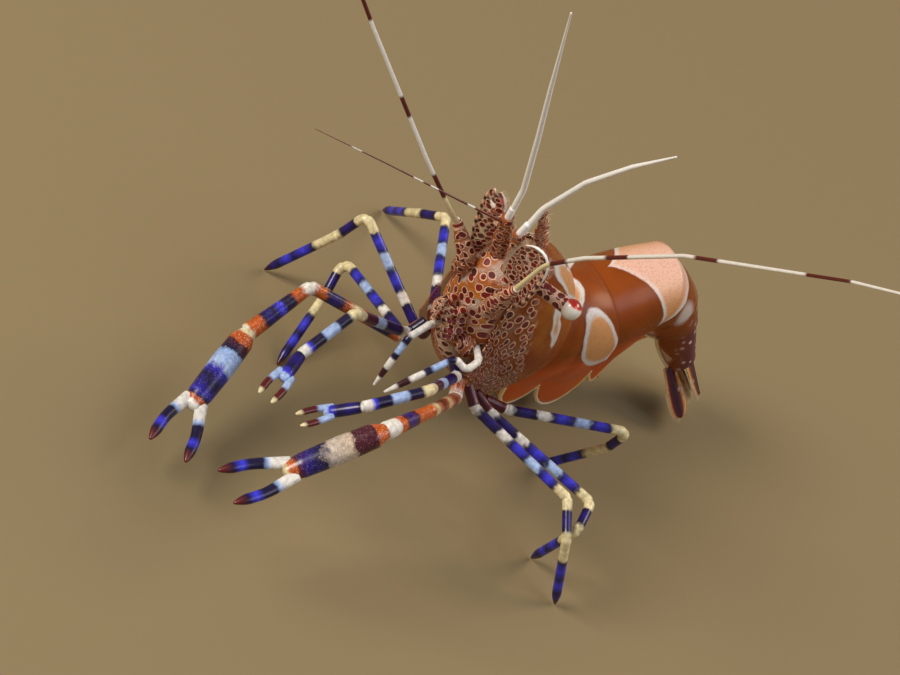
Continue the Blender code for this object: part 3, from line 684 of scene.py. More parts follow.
def patched_chitin(name):
    material, tree, shader, place = finish(name)
    chart = add(tree, "UVMap", uv_map="chart")
    parts = add(tree, "SeparateXYZ", [chart])
    along = parts.outputs[0]
    across = add(tree, "Math", [parts.outputs[1]], operation="ABSOLUTE")
    cloud = add(tree, "TexNoise", {"Vector": place, "Scale": 1.2 / MM, "Detail": 3.0})
    gap = patch_gap(tree, chart, cloud, TAIL_PATCHES, saddle_gap(tree, parts))
    inside = add(tree, "MapRange", [gap, 0.03, -0.03], **SOFT_EDGE)

    # the tan of the patches blushes near the back and is grained all over
    rosy = add(tree, "MapRange", [across, 1.6, 0.3])
    behind = add(tree, "MapRange", [along, 3.0, 3.6, 0.0, 0.75])
    blush = add(tree, "Math", [rosy, behind], operation="MULTIPLY")
    grain = round_dots(tree, place, 0.09, (0.40, 0.20), 0.35, 1.0)
    tan = patch_colour(tree, gap, 0.14)
    for share, code in ((blush, "#EFC6B8"), (grain, "#B8613A")):
        tan = add(tree, "Mix", {0: share, 6: tan, 7: paint(code)}, data_type="RGBA")

    # the amber is brighter low on the flanks, and stained purple with pale dots at the rear
    low = add(tree, "MapRange", [across, 2.3, 3.2])
    far = add(tree, "Math", [cloud, STAIN_SWAY, along], operation="MULTIPLY_ADD")
    stain = add(tree, "MapRange", [far, *[at + STAIN_SWAY / 2 for at in STAIN]])
    spine = add(tree, "MapRange", [across, 1.4, 0.7])
    stain = add(tree, "Math", [stain, spine], operation="MULTIPLY")
    dot = round_dots(tree, place, 0.30, (0.32, 0.24))
    dot = add(tree, "Math", [dot, stain], operation="MULTIPLY")
    blob = patch_gap(tree, chart, cloud, (BLOB,))
    blob = add(tree, "MapRange", [blob, 0.12, -0.12, 0.0, 0.95])
    amber = add(tree, "Mix", {0: cloud, 6: paint("#8E3A02"), 7: paint("#B45C0C")}, data_type="RGBA")
    for share, code in ((low, "#DE5A02"), (stain, "#5A0E2C"), (dot, "#E6C3BC"), (blob, "#F0E9E4")):
        amber = add(tree, "Mix", {0: share, 6: amber, 7: paint(code)}, data_type="RGBA")

    whole = add(tree, "Mix", {0: inside, 6: amber, 7: tan}, data_type="RGBA")
    opaque = inside
    for share, strength in ((stain, 0.85), (low, 0.6)):
        denser = add(tree, "Math", [share, strength], operation="MULTIPLY")
        opaque = add(tree, "Math", [opaque, denser], operation="MAXIMUM")
    solid = add(tree, "MapRange", {0: opaque, 3: 0.5, 4: 0.97})
    bump = add(tree, "Bump", {"Strength": 0.2, "Distance": 0.04 * MM, "Height": cloud})
    fill(tree, shader, {"Base Color": whole, "Alpha": solid, "Normal": bump, "IOR": 1.5,
                        "Roughness": 0.34, "Coat Weight": 0.06, "Coat Roughness": 0.15})
    return material


CLEAR_SHELL = patched_chitin("clear_patched_chitin")
# the stage of a tail leaf counts from its middle line to its edge
TAIL_CHITIN = banded_chitin("tail_fan_chitin", (
    (0.0, "#360A18"), (0.42, "#4E0E20"), (0.56, "#6A1C20"), (0.66, "#B0662C"), (0.84, "#DCA05A"),
    (1.0, "#E6BC80")), speckle=0.4, rough=0.2, wander=1.0, dots=(0.60, "#C89C9C"))
EDGE_AMBER = soft_flesh("pale_edge_chitin", "#FBE6C0", "#F0B878")
SETAE = soft_flesh("pale_hair_keratin", "#E6CDB0", "#B98A5C")


# %% [markdown]
# ### Hairs
#
# Shrimps wear fringes of stiff hairs, called setae, on the scales, the mouth, the rostrum and
# the tail. Each is a closed three-sided spike about 0.02 mm thick. One mesh holds all the
# hairs of a fringe, because hundreds of separate pieces would be slow.

# %% One mesh of fine spikes
HAIR = 0.012        # from the middle of a hair to a corner at its root
HAIR_LEAN = 0.08    # of the length, how far its tip leans aside


def fringe(name, hairs, slot="spotted_shell"):
    """hairs is a list of (root, direction, length)."""
    verts = []
    faces = []
    for root, out, length in hairs:
        out = out.normalized()
        side = out.orthogonal().normalized()
        other = out.cross(side)
        start = len(verts)
        for share, girth in ((0.0, HAIR), (0.6, HAIR * 0.7)):
            verts += [root + out * length * share + (side * c + other * s) * girth for c, s in circle(3)]
        verts.append(root + out * length + side * length * HAIR_LEAN)
        faces.append((start + 2, start + 1, start))
        for i in range(3):
            j = (i + 1) % 3
            faces.append((start + i, start + j, start + 3 + j, start + 3 + i))
            faces.append((start + 3 + i, start + 3 + j, start + 6))
    settle(piece_of(name, verts, faces, SETAE), slot)


# %% [markdown]
# ## Head shell
#
# The carapace is one sheet of chitin folded over the chest like a saddle. Its lower edges
# hang free beside the leg roots, and its front edge has a notch for each eye and a sharp
# spine below it. The sheet is a grid: one direction runs over the back from edge to edge,
# the other from the rear margin to the front margin. The margins are functions of the angle,
# and a solidify modifier gives the sheet its thickness.

# %% Sections of the chest
# each section: place along the body, half width, height of the back, depth of the belly, tilt
CARAPACE_SECTIONS = (
    (0.0, 1.40, 1.75, 1.85, -30), (0.7, 1.68, 2.00, 2.15, -26), (1.8, 1.85, 2.22, 2.32, -18),
    (3.2, 1.85, 2.32, 2.30, -8), (4.5, 1.65, 2.25, 1.95, 0), (5.5, 1.30, 2.02, 1.45, 0),
    (6.2, 1.02, 1.82, 0.95, 0), (6.7, 0.72, 1.62, 0.45, 0), (6.85, 0.40, 1.35, 0.10, 0),
)


def smooth_row(table, at):
    """A row of the table at any place, on a smooth curve through its rows."""
    places = [row[0] for row in table]
    at = clamped(at, places[0], places[-1])
    k = max(i for i in range(len(table) - 1) if places[i] <= at + 1e-9)
    p0 = table[max(k - 1, 0)]
    p1 = table[k]
    p2 = table[k + 1]
    p3 = table[min(k + 2, len(table) - 1)]
    t = (at - p1[0]) / (p2[0] - p1[0])
    out = []
    for c in range(1, len(p1)):
        m1 = (p2[c] - p0[c]) / max(1e-9, p2[0] - p0[0]) * (p2[0] - p1[0])
        m2 = (p3[c] - p1[c]) / max(1e-9, p3[0] - p1[0]) * (p2[0] - p1[0])
        out.append((2 * t ** 3 - 3 * t ** 2 + 1) * p1[c] + (t ** 3 - 2 * t ** 2 + t) * m1
                   + (-2 * t ** 3 + 3 * t ** 2) * p2[c] + (t ** 3 - t ** 2) * m2)
    return out


def oval(half_width, up, down, angle):
    """A point of a body section: a dome above, a pinched wall below. 90 degrees is the back."""
    c = math.cos(math.radians(angle))
    s = math.sin(math.radians(angle))
    if s >= 0:
        return half_width * math.copysign(abs(c) ** 0.85, c), up * s ** 0.95
    return half_width * math.copysign(abs(c) ** 0.65, c) * (1 + 0.16 * s), -down * (-s) ** 0.80


def on_chest(x, angle, swell=0.0):
    half_width, up, down, tilt = smooth_row(CARAPACE_SECTIONS, x)
    y, z = oval(half_width + swell, up + swell, down + swell, angle)
    t = math.radians(tilt)
    return Vector((x - math.sin(t) * z, y, math.cos(t) * z))


# %% The carapace sheet
# the place of the front margin, for each angle away from the back
MARGIN_ANGLES = (0, 10, 26, 40, 52, 58, 75, 95, 115, 130, 142)
MARGIN_PLACES = (6.30, 6.20, 5.70, 5.85, 6.45, 6.10, 6.20, 6.00, 5.45, 4.60, 3.90)
SHELL_LENGTH = 6.3
SHELL_STEPS = 70
SHELL_ANGLES = [-58 + 296 * i / 140 for i in range(141)]
FLAP_START = 124      # degrees from the back at which the side wall begins to hang straight down
FLAP_DROP = 0.019     # of the depth, for each degree past that
FLAP_PULL = 0.006     # of the width, drawn in for each degree past that


def front_margin(angle):
    return between(MARGIN_ANGLES, MARGIN_PLACES, abs(angle - 90))


def on_shell(share, angle):
    """A point of the sheet, at a share of the way from the rear margin to the front one."""
    x = front_margin(angle) * share
    point = on_chest(x, clamped(angle, 90 - FLAP_START, 90 + FLAP_START))
    over = max(0.0, abs(angle - 90) - FLAP_START)
    point.z -= over * FLAP_DROP * smooth_row(CARAPACE_SECTIONS, x)[2]
    point.y *= 1 - FLAP_PULL * over
    lip = 0.03 * hump(share - 1, 0.02) + 0.03 * hump(share, 0.02)
    groove = 0.05 * hump(x - 4.3 + 0.012 * abs(angle - 90), 0.16)
    outward = (point - Vector((point.x, 0, 0))).normalized()
    return HEAD @ (point + outward * (lip - groove - 0.02))


shares = [n / SHELL_STEPS for n in range(SHELL_STEPS + 1)]
carapace = skin("carapace_sheet", [[on_shell(share, angle) for angle in SHELL_ANGLES] for share in shares],
                [share * SHELL_LENGTH for share in shares], SHELL, wrap=False, tips=(None, None),
                faces_out=False)
thicken(carapace)
settle(carapace, "spotted_shell", "carapace")

# %% Flesh inside the chest and the face in front of it
def chart_from_tip(piece, rings):
    """Charts a dome outwards from its tip, so that spots stay round on it."""
    centre = sum(rings[-1], Vector()) / len(rings[-1])
    reach = [[(point - centre).length for point in rings[-1]]]
    for inner, outer in zip(rings[:0:-1], rings[-2::-1]):
        reach.append([r + (b - a).length for r, a, b in zip(reach[-1], inner, outer)])
    flat = [HEAD.inverted() @ point - HEAD.inverted() @ centre for point in rings[-1]]
    turns = [math.atan2(point.z, point.y) for point in flat]
    chart = []
    for row in reach[::-1]:
        chart += [(r * math.cos(a), r * math.sin(a)) for a, r in zip(turns, row)]
    chart += [(0.0, 0.0)] * 2
    layer = piece.data.uv_layers["chart"]
    for loop in piece.data.loops:
        layer.data[loop.index].uv = chart[loop.vertex_index]


FACE_START = 3.3
FLESH_ANGLES = [270 - 360 * i / 64 for i in range(64)]
for name, first, last, material in (("chest_flesh", 0.05, FACE_START, FLESH),
                                    ("face_mask", FACE_START - 0.05, 6.83, FACE)):
    along = [first + (last - first) * n / 40 for n in range(41)]
    rings = [[HEAD @ on_chest(x, angle, -0.13) for angle in FLESH_ANGLES] for x in along]
    bared = [[clamped((x - front_margin(angle)) / 0.15 + 0.6) for angle in FLESH_ANGLES] for x in along]
    core = skin(name, rings, along, material, bared)
    if material == FACE:
        chart_from_tip(core, rings)
    settle(core, "spotted_shell")
print("carapace faces:", len(carapace.data.polygons))


# %% [markdown]
# ## Rostrum
#
# The rostrum is the blade between the eyes. From the side it is a knife with forward-pointing
# teeth on its back edge, seven here, and two below. Its outline is a row of stations, each
# with a height above and below the mid-line, and a thin lens gives it its thickness.

# %% Toothed blade
ROSTRUM_ROOT = (5.9, 0.0, 1.75)
ROSTRUM_BURIED = 0.8        # mm of the blade inside the head
BLADE = 3.3 + ROSTRUM_BURIED
TEETH_ABOVE = 7.5
TEETH_BELOW = 4.5
root = in_body(ROSTRUM_ROOT) - FORWARD * ROSTRUM_BURIED
shares = [n / 90 for n in range(91)]
rings = []
for share in shares:
    above = 0.30 * (1 - share) ** 0.7 + 0.04
    if 0.05 < share < 0.97:
        above += 0.16 * (share * TEETH_ABOVE % 1.0) ** 2
    below = 0.24 * (1 - share) ** 0.6 + 0.03
    if 0.45 < share < 0.9:
        below += 0.10 * (share * TEETH_BELOW % 1.0) ** 2
    half = 0.13 * (1 - share) ** 0.6 + 0.03
    ring = []
    for c, s in circle(16):
        rise = (above if s > 0 else below) * math.copysign(abs(s) ** 0.8, s)
        ring.append(root + FORWARD * BLADE * share + UPWARD * rise + SIDEWAYS * half * c * abs(c) ** 0.3)
    rings.append(ring)
rostrum = skin("rostrum_blade", rings, [BLADE * share for share in shares], SMALL_SPOTS,
               tips=("flat", root + FORWARD * (BLADE + 0.1)))
settle(rostrum, "spotted_shell", "rostrum")
hairs = []
for n in range(46):
    share = 0.12 + 0.84 * n / 45
    spine = root + FORWARD * BLADE * share + UPWARD * 0.30 * (1 - share) ** 0.7
    tilt = FORWARD * random.uniform(0.3, 0.9) + UPWARD + SIDEWAYS * random.uniform(-0.5, 0.5)
    hairs.append((spine, tilt, random.uniform(0.18, 0.34)))
fringe("rostrum_hairs", hairs)


# %% [markdown]
# ## Eyes
#
# Each eye is a ball of tiny lenses on a short movable stalk. The stalk wears the same spots
# as the head. The ball is white, with a red patch of pigment on its upper side, and is very
# glossy because it is always wet.

# %% Eye finish
def eye_finish(name, toward):
    material, tree, shader, place = finish(name)
    normal = add(tree, "NewGeometry").outputs["Normal"]
    aim = add(tree, "VectorMath", [normal, tuple(toward)], operation="DOT_PRODUCT")
    cloud = add(tree, "TexNoise", {"Vector": place, "Scale": 6 / MM, "Detail": 2.0})
    ragged = add(tree, "Math", [cloud, 0.25, aim], operation="MULTIPLY_ADD")
    tone = stops(add(tree, "ValToRGB", [ragged]), (
        (0.0, "#E9E4D8"), (0.62, "#F2EEE4"), (0.68, "#F4B29A"), (0.74, "#D2331A"), (1.0, "#A81A10")))
    facets = add(tree, "TexVoronoi", {"Vector": place, "Scale": 30 / MM, "Randomness": 0.1})
    bump = add(tree, "Bump", {"Strength": 0.15, "Distance": 0.01 * MM, "Height": facets})
    fill(tree, shader, {"Base Color": tone, "Normal": bump, "IOR": 1.5, "Roughness": 0.12,
                        "Coat Weight": 0.8, "Coat Roughness": 0.04})
    return material


# %% Stalks and corneas
EYE_RADIUS = 0.34
EYE_LENGTH = 0.97       # of the width
for side, sign in SIDES.items():
    base = in_body(EYE_BASE, side)
    centre = EYE_CENTRE[side]
    out = (centre - base).normalized()
    limb(f"eyestalk_{side}_tube", [base - out * 0.3, base + out * 0.7, centre], [0.30, 0.25, 0.27],
         STALK_SPOTS, "spotted_shell", "eyestalk_" + side, bend=1.0, sides=24, knuckle=0.05, pinch=0.06)
    look = turned(Vector((0.45, -0.1 * sign, 0.9))).normalized()
    one = out.orthogonal().normalized()
    two = out.cross(one)
    polars = [math.pi * n / 24 for n in range(1, 24)]
    rings = [[centre - out * EYE_RADIUS * math.cos(polar) * EYE_LENGTH
              + (one * c + two * s) * EYE_RADIUS * math.sin(polar) for c, s in circle(32)]
             for polar in polars]
    pole = out * EYE_RADIUS * EYE_LENGTH
    eye = skin("cornea_" + side, rings, [EYE_RADIUS * polar for polar in polars],
               eye_finish("wet_cornea_" + side, look), tips=(centre - pole, centre + pole))
    settle(eye, "eye", "eye_" + side)


# %% [markdown]
# ## Feelers
#
# Each antennule has a three-jointed stem, a stout white whip and a thin dark one. Each
# antenna has a stout folded stem, a leaf-like scale beside it and one very long banded whip.
# The long whips are hardly thicker than a hair: 0.15 mm, where the solids had to be 0.5 mm.

# %% Antennules
ANTENNULE_BASE = (6.4, 0.38, 0.62)
ANTENNULE_STALK = 2.6
ANTENNULE_HEADING = {"right": (0, 19), "left": (-3, 19)}
ANTENNULE_OUTER = {
    "right": (((-14, 76), 1.6), ((-20, 67), 2.6), ((-20, 66), 2.6), ((-18, 66), 3.7)),
    "left": (((66, 88), 1.4), ((68, 73), 2.2), ((69, 64), 2.2), ((69, 60), 2.0)),
}
ANTENNULE_INNER = {
    "right": (((-37, 12), 2.2), ((-40, 10), 2.6), ((-40, 9), 2.6)),
    "left": (((20, 40), 1.8), ((24, 44), 1.8), ((28, 46), 1.6)),
}
for side in SIDES:
    base = in_body(ANTENNULE_BASE, side)
    lead = turned(heading(*ANTENNULE_HEADING[side]))
    tip = base + lead * ANTENNULE_STALK
    limb(f"antennule_{side}_stem", [base, base + lead * 1.3, base + lead * 2.0, tip],
         [0.31, 0.28, 0.24, 0.20], SMALL_SPOTS, "spotted_shell", "antennule_base_" + side, bend=1.0,
         sides=20, knuckle=0.10, pinch=0.20)
    start = tip - lead * 0.15
    rising = tip + heading(*ANTENNULE_OUTER[side][0][0]) * 0.5
    limb(f"antennule_{side}_cup", [tip - lead * 0.22, tip, rising], [0.125, 0.12, 0.10], FEELER_WHITE,
         "white_feeler", bend=0.2, sides=20, **SMOOTH)
    hairs = []
    for n in range(34):
        a = random.uniform(0, math.tau)
        way = SIDEWAYS * math.cos(a) + UPWARD * math.sin(a)
        foot = tip - lead * random.uniform(0.0, 0.5) + way * 0.18
        hairs.append((foot, lead + way * random.uniform(0.3, 1.2), random.uniform(0.18, 0.34)))
    fringe(f"antennule_{side}_tuft", hairs, "white_feeler")
    limb(f"antennule_{side}_outer_whip", walk(start, ANTENNULE_OUTER[side]),
         [0.11, 0.10, 0.09, 0.075, 0.03], FEELER_WHITE, "white_feeler", "antennule_outer_" + side, bend=1.6,
         sides=12, **SMOOTH)
    limb(f"antennule_{side}_inner_whip", walk(start - UPWARD * 0.13, ANTENNULE_INNER[side]),
         [0.05, 0.032, 0.022, 0.012], WHISKER, "banded_feeler", "antennule_inner_" + side, bend=1.6,
         sides=10, even=True, **SMOOTH)

# %% Antennae
# the folded stem: root, bend and end in the head's axes
ANTENNA_STALK = {
    "right": ((6.3, -0.80, -0.50), (6.95, -0.74, -0.20), (7.90, -1.55, 0.17)),
    "left": ((6.3, 0.85, -0.60), (7.25, 1.10, -0.10), (8.15, 1.41, 0.39)),
}
ANTENNA_PASS = {"right": (8.87, -1.75, 0.19), "left": (10.0, 1.90, 1.50)}
ANTENNA_SWEEP = {
    "right": (((-50, 41), 2.0), ((-58, 41), 5.0), ((-60, 42), 8.0), ((-60, 44), 9.0)),
    "left": (((64, 58), 2.0), ((62, 53), 5.0), ((61, 47), 8.0), ((60, 44), 8.0)),
}
for side in SIDES:
    root, fold, end = [HEAD @ Vector(point) for point in ANTENNA_STALK[side]]
    lead = (end - fold).normalized()
    limb(f"antenna_{side}_stem", [root, fold, fold.lerp(end, 0.55), end], [0.34, 0.30, 0.24, 0.14],
         SMALL_SPOTS, "spotted_shell", "antenna_base_" + side, bend=0.6, sides=24, knuckle=0.10, pinch=0.20)
    limb(f"antenna_{side}_cup", [fold.lerp(end, 0.72), end, end + lead * 0.12], [0.19, 0.155, 0.09], RINGED,
         "banded_feeler", bend=0.3, sides=20, knuckle=0.05, pinch=0.1)
    points = [end - lead * 0.1] + walk(HEAD @ Vector(ANTENNA_PASS[side]), ANTENNA_SWEEP[side])
    limb(f"antenna_{side}_whip", points, [0.10, 0.075, 0.07, 0.065, 0.05, 0.025], ANTENNA_CHITIN[side],
         "banded_feeler", "antenna_" + side, bend=2.5, step=0.08, sides=10, even=True, **SMOOTH)

# %% Antennal scales
SCALE_BASE = {"right": (6.25, 0.92, 0.03), "left": (6.25, 1.05, -0.15)}
SCALE_HEADING = {"right": (-5, 31), "left": (0, 33)}
SCALE_ROLL = {"right": 35, "left": -13}
SCALE_LENGTH = 3.3
# how much of the outline the inner and the outer edge reach
SCALE_SPAN = {"right": (0.72, 0.72 * 0.8), "left": (1.0, 1.0)}
SCALE_WIDTH = 1.15 / 1.1        # times the outline
# each row: share along the scale, then how far the inner and the outer edge lie aside
SCALE_OUTLINE = ((0.10, 0.26, 0.26), (0.2, 0.36, 0.36), (0.35, 0.52, 0.50), (0.55, 0.60, 0.55),
                 (0.8, 0.52, 0.55), (0.93, 0.34, 0.46), (1.0, 0.10, 0.25))


def scale_edges(side, share):
    row = smooth_row(SCALE_OUTLINE, share)
    return [value * span * SCALE_WIDTH for value, span in zip(row, SCALE_SPAN[side])]


for side, sign in SIDES.items():
    base = in_body(SCALE_BASE[side], side)
    out = turned(heading(*SCALE_HEADING[side]))
    roll = math.radians(SCALE_ROLL[side])
    across = turned(Vector((0, sign * math.cos(roll), -math.sin(roll))))
    across = (across - out * across.dot(out)).normalized()
    normal = out.cross(across)
    shares = [0.10 + 0.90 * n / 40 for n in range(41)]
    rings = []
    inner_edge = []
    outer_edge = []
    for share in shares:
        inner, outer = scale_edges(side, share)
        middle = base + out * SCALE_LENGTH * share
        rings.append([middle + across * c * (outer if c > 0 else inner)
                      + normal * (s * (0.045 + 0.05 * hump(c - 0.85, 0.15)) + 0.08 * (1 - c * c))
                      for c, s in circle(28)])
        inner_edge.append(middle - across * inner)
        outer_edge.append(middle + across * outer)
    scale = skin(f"antennal_scale_{side}_leaf", rings, [SCALE_LENGTH * share for share in shares], LEAF_SPOTS)
    settle(scale, "spotted_shell", "antennal_scale_" + side)
    inner_edge = inner_edge[::4]
    outer_edge = outer_edge[::4]
    # the white rim lies inside on the right scale and round the end on the left one
    if side == "right":
        line = inner_edge[4:]
    else:
        line = [point + across * 0.05 + out * 0.05 for point in outer_edge[6:]] + inner_edge[:-3:-1]
    limb(f"antennal_scale_{side}_outer_rim", outer_edge, [0.06] * 10 + [0.03], DOTTED_EDGE, "spotted_shell",
         bend=0.6, sides=10, **SMOOTH)
    limb(f"antennal_scale_{side}_white_rim", line, [0.02] + [0.045] * (len(line) - 2) + [0.02],
         FEELER_WHITE, "white_feeler", bend=0.6, sides=8, **SMOOTH)
    hairs = []
    for n in range(70):
        share = 0.35 + 0.65 * n / 69
        root = base + out * SCALE_LENGTH * share - across * scale_edges(side, share)[0]
        hairs.append((root, out * (0.7 + 0.9 * share) - across + normal * random.uniform(-0.15, 0.15),
                      random.uniform(0.26, 0.36) * (1.0 - 0.3 * share)))
    fringe(f"antennal_scale_{side}_hairs", hairs)
print("feelers and scales placed")


# %% [markdown]
# ## Chest floor and mouth
#
# Between the leg roots runs a narrow chest floor, and in front of it sit the folded
# mouthparts: short overlapping leaves that sweep food in.

# %% Chest floor
STERNUM_SECTIONS = ((0.3, 0.75, -2.35), (1.0, 1.15, -2.55), (2.2, 1.20, -2.70), (3.4, 0.88, -2.52),
                    (4.4, 0.50, -2.15), (5.2, 0.30, -1.85))
STERNUM_TOP = -1.2
along = [0.3 + 4.9 * n / 30 for n in range(31)]
rings = []
for x in along:
    half_width, bottom = smooth_row(STERNUM_SECTIONS, x)
    middle = (bottom + STERNUM_TOP) / 2
    depth = (bottom - STERNUM_TOP) / 2
    rings.append([HEAD @ Vector((x, half_width * c, middle - depth * s)) for c, s in circle(32)])
sternum = skin("chest_floor", rings, along, FACE, [clamped(x - 2.4) for x in along])
settle(sternum, "spotted_shell", "thorax_underside")

# %% Mouthpart leaves
MOUTH_CENTRE = (5.35, 0.0, -1.55)
# each row of leaves: how far ahead, above and aside of the mouth it starts, and its size
MOUTH_ROWS = ((0.9, 0.25, 0.30, 0.42), (0.55, 0.05, 0.42, 0.50), (0.10, -0.20, 0.48, 0.55),
              (-0.35, -0.35, 0.45, 0.5))
for row, (ahead, lift, spread, size) in enumerate(MOUTH_ROWS, 1):
    for side in SIDES:
        x, y, z = MOUTH_CENTRE
        start = in_body((x + ahead - 0.3, spread, z + lift + 0.15), side)
        stop = in_body((x + ahead + 0.25, spread * 0.35, z + lift - 0.35), side)
        limb(f"mouth_leaf_{row}_{side}", [start, start.lerp(stop, 0.5) + UPWARD * -0.12, stop],
             [size * 0.28, size * 0.40, size * 0.10], SMALL_SPOTS, "spotted_shell", bend=0.6, sides=18,
             press=(FORWARD, 0.5), **SMOOTH)
        hairs = []
        for n in range(16):
            way = (stop - start).normalized() + FORWARD * random.uniform(0.2, 0.9)
            hairs.append((start.lerp(stop, 0.5 + 0.5 * n / 15), way + SIDEWAYS * random.uniform(-0.6, 0.6),
                          random.uniform(0.25, 0.4)))
        fringe(f"mouth_hairs_{row}_{side}", hairs)

# %% Lobes of the jaws under the mouth
for name, start, end, girth in (("middle", (4.4, 0.05, -1.75), (5.15, 0.10, -1.95), 0.50),
                                ("left", (4.3, 0.70, -1.65), (5.0, 0.75, -1.90), 0.42),
                                ("right", (4.3, -0.60, -1.65), (5.0, -0.60, -1.75), 0.40)):
    start = HEAD @ Vector(start)
    end = HEAD @ Vector(end)
    limb("jaw_lobe_" + name, [start, start.lerp(end, 0.5), end], [girth * 0.8, girth, girth * 0.25],
         SMALL_SPOTS, "spotted_shell", bend=0.5, sides=24, blunt=0.45, **SMOOTH)

# %% Hairs on the face
hairs = []
for n in range(150):
    x = random.uniform(6.0, 6.80)
    point = on_chest(x, random.uniform(-40, 220), -0.14)
    out = Vector((1.2, point.y * 0.5, point.z * 0.3 + random.uniform(-0.3, 0.6)))
    hairs.append((HEAD @ point, turned(out), random.uniform(0.12, 0.28)))
fringe("face_hairs", hairs)

# %% Third maxillipeds
# points of the mouth legs in the head's own axes
MAXILLIPED = {
    "right": ((4.85, -0.10, -1.95), (5.50, -0.12, -2.30), (6.11, 0.03, -3.10), (5.44, 0.42, -4.84)),
    "left": ((4.50, 1.05, -1.55), (4.85, 1.58, -1.74), (5.15, 1.68, -2.24), (5.45, 1.25, -2.29),
             (6.20, 1.05, -4.70)),
}
for side, points in MAXILLIPED.items():
    limb(f"maxilliped_{side}_leg", [HEAD @ Vector(point) for point in points],
         [0.115] * (len(points) - 1) + [0.04], MAXILLIPED_CHITIN[side], "banded_leg", "maxilliped_" + side,
         bend=0.24, blunt=0.9)


# %% [markdown]
# ## Claw-bearing legs
#
# The first pair is slim and reaches to the mouth. The second pair is the large one, with a
# swollen palm and two long fingers, held wide open. The palm is an oval tube, and each
# finger is a flattened tube that curves towards the other.

# %% Both pairs of arms
ARM_BASE = {1: (3.9, 0.80, -2.35), 2: (3.15, 1.00, -2.40)}
ARM = {
    ("right", 1): (((-10, -52), 0.7), ((-19, 22), 3.0), ((3, -30), 2.2)),
    ("left", 1): (((49, 4), 0.7), ((9, 22), 3.0), ((-19, -20), 2.2)),
    ("right", 2): (((-15, -47), 0.9), ((-46, 9), 3.6), ((1, -34), 2.5)),
    ("left", 2): (((46, -25), 0.9), ((11, 28), 3.6), ((1, 5), 2.5)),
}
# heading and length of the palm, then of the fingers, and how far each finger turns outwards
CLAW = {
    ("right", 1): ((20, -10), 1.2, (16, -8), 1.2, 4), ("left", 1): ((-50, -45), 1.2, (-12, -8), 1.2, 8),
    ("right", 2): ((20, -19), 3.3, (27, -8), 2.2, 13), ("left", 2): ((-17, -34), 3.3, (-17, -17), 2.2, 12),
}
ARM_GIRTHS = {1: [0.19, 0.18, 0.17, 0.19], 2: [0.24, 0.21, 0.20, 0.30]}
PALM_GIRTHS = {1: [0.15, 0.20, 0.22, 0.215, 0.1575], 2: [0.22, 0.40, 0.44, 0.40, 0.27]}
FINGER_GIRTHS = {1: [0.13, 0.12, 0.04], 2: [0.21, 0.18, 0.05]}
FINGER_BLUNT = {1: 0.35, 2: 0.5}
FINGER_ROOT = {1: 0.20, 2: 0.24}        # mm from the middle of the palm
FINGER_BOW = 0.05       # mm that the middle of a finger bows out, twice as much on the large pair
FINGER_HOOK = 0.04      # mm that its tip bends in
ARM_FINISH = {"right": {1: ARM_1_CHITIN, 2: ARM_2_RIGHT}, "left": {1: ARM_1_CHITIN, 2: ARM_2_LEFT}}
PALM_FINISH = {"right": {1: PALM_1_CHITIN, 2: PALM_2_RIGHT}, "left": {1: PALM_1_CHITIN, 2: PALM_2_LEFT}}
FINGER_FINISH = {1: FINGER_1_CHITIN, 2: FINGER_2_CHITIN}
for (side, number), stretches in ARM.items():
    slot = "banded_leg" if number == 1 else "large_claw"
    points = walk(in_body(ARM_BASE[number], side), stretches)
    limb(f"arm_{number}_{side}_tube", points, ARM_GIRTHS[number], ARM_FINISH[side][number], slot,
         f"arm_{number}_{side}", sides=20)
    wrist = points[-1]
    palm_heading, palm_length, finger_heading, finger_length, spread = CLAW[(side, number)]
    lead = heading(*palm_heading)
    across = lead.cross(Vector((0, 0, 1))).normalized()
    flat = across.cross(lead).normalized()
    palm_end = wrist + lead * palm_length
    line = [wrist - lead * 0.05, *[wrist + lead * palm_length * share for share in (0.12, 0.45, 0.85)],
            palm_end + lead * 0.05]
    limb(f"palm_{number}_{side}_tube", line, PALM_GIRTHS[number], PALM_FINISH[side][number], slot,
         f"palm_{number}_{side}", bend=2.0, sides=28, press=(flat, 0.85), end=0.3, **SMOOTH)
    for label, way in (("finger", -1), ("dactyl", 1)):
        root = palm_end + across * way * FINGER_ROOT[number] - lead * 0.12
        outward = Matrix.Rotation(-way * math.radians(spread), 3, flat)
        line = (outward @ heading(*finger_heading)).normalized()
        middle = root + line * finger_length * 0.5 + across * way * FINGER_BOW * number
        tip = root + line * finger_length - across * way * FINGER_HOOK * number
        # the small fingers have no solids of their own
        limb(f"{label}_{number}_{side}_tube", [root - lead * 0.1, middle, tip], FINGER_GIRTHS[number],
             FINGER_FINISH[number], slot, *[f"{label}_{number}_{side}"][:number - 1], bend=3.0,
             press=(flat, 0.8), blunt=FINGER_BLUNT[number], **SMOOTH)


# %% [markdown]
# ## Walking legs
#
# Six legs carry the body. Each has a short hip, a long upper part, a knee, a short shank and
# a last stretch that slopes down to the floor and ends in a point.

# %% Six walking legs
LEG_BASE = {3: (2.35, 1.20, -2.40), 4: (1.60, 1.35, -2.35), 5: (0.90, 1.50, -2.25)}
LEG_LONG = {3: 4.1, 4: 4.3, 5: 4.1}
HIP = 0.8
SHANK = 1.3
LAST = 3.0
TOE_HEIGHT = 0.06
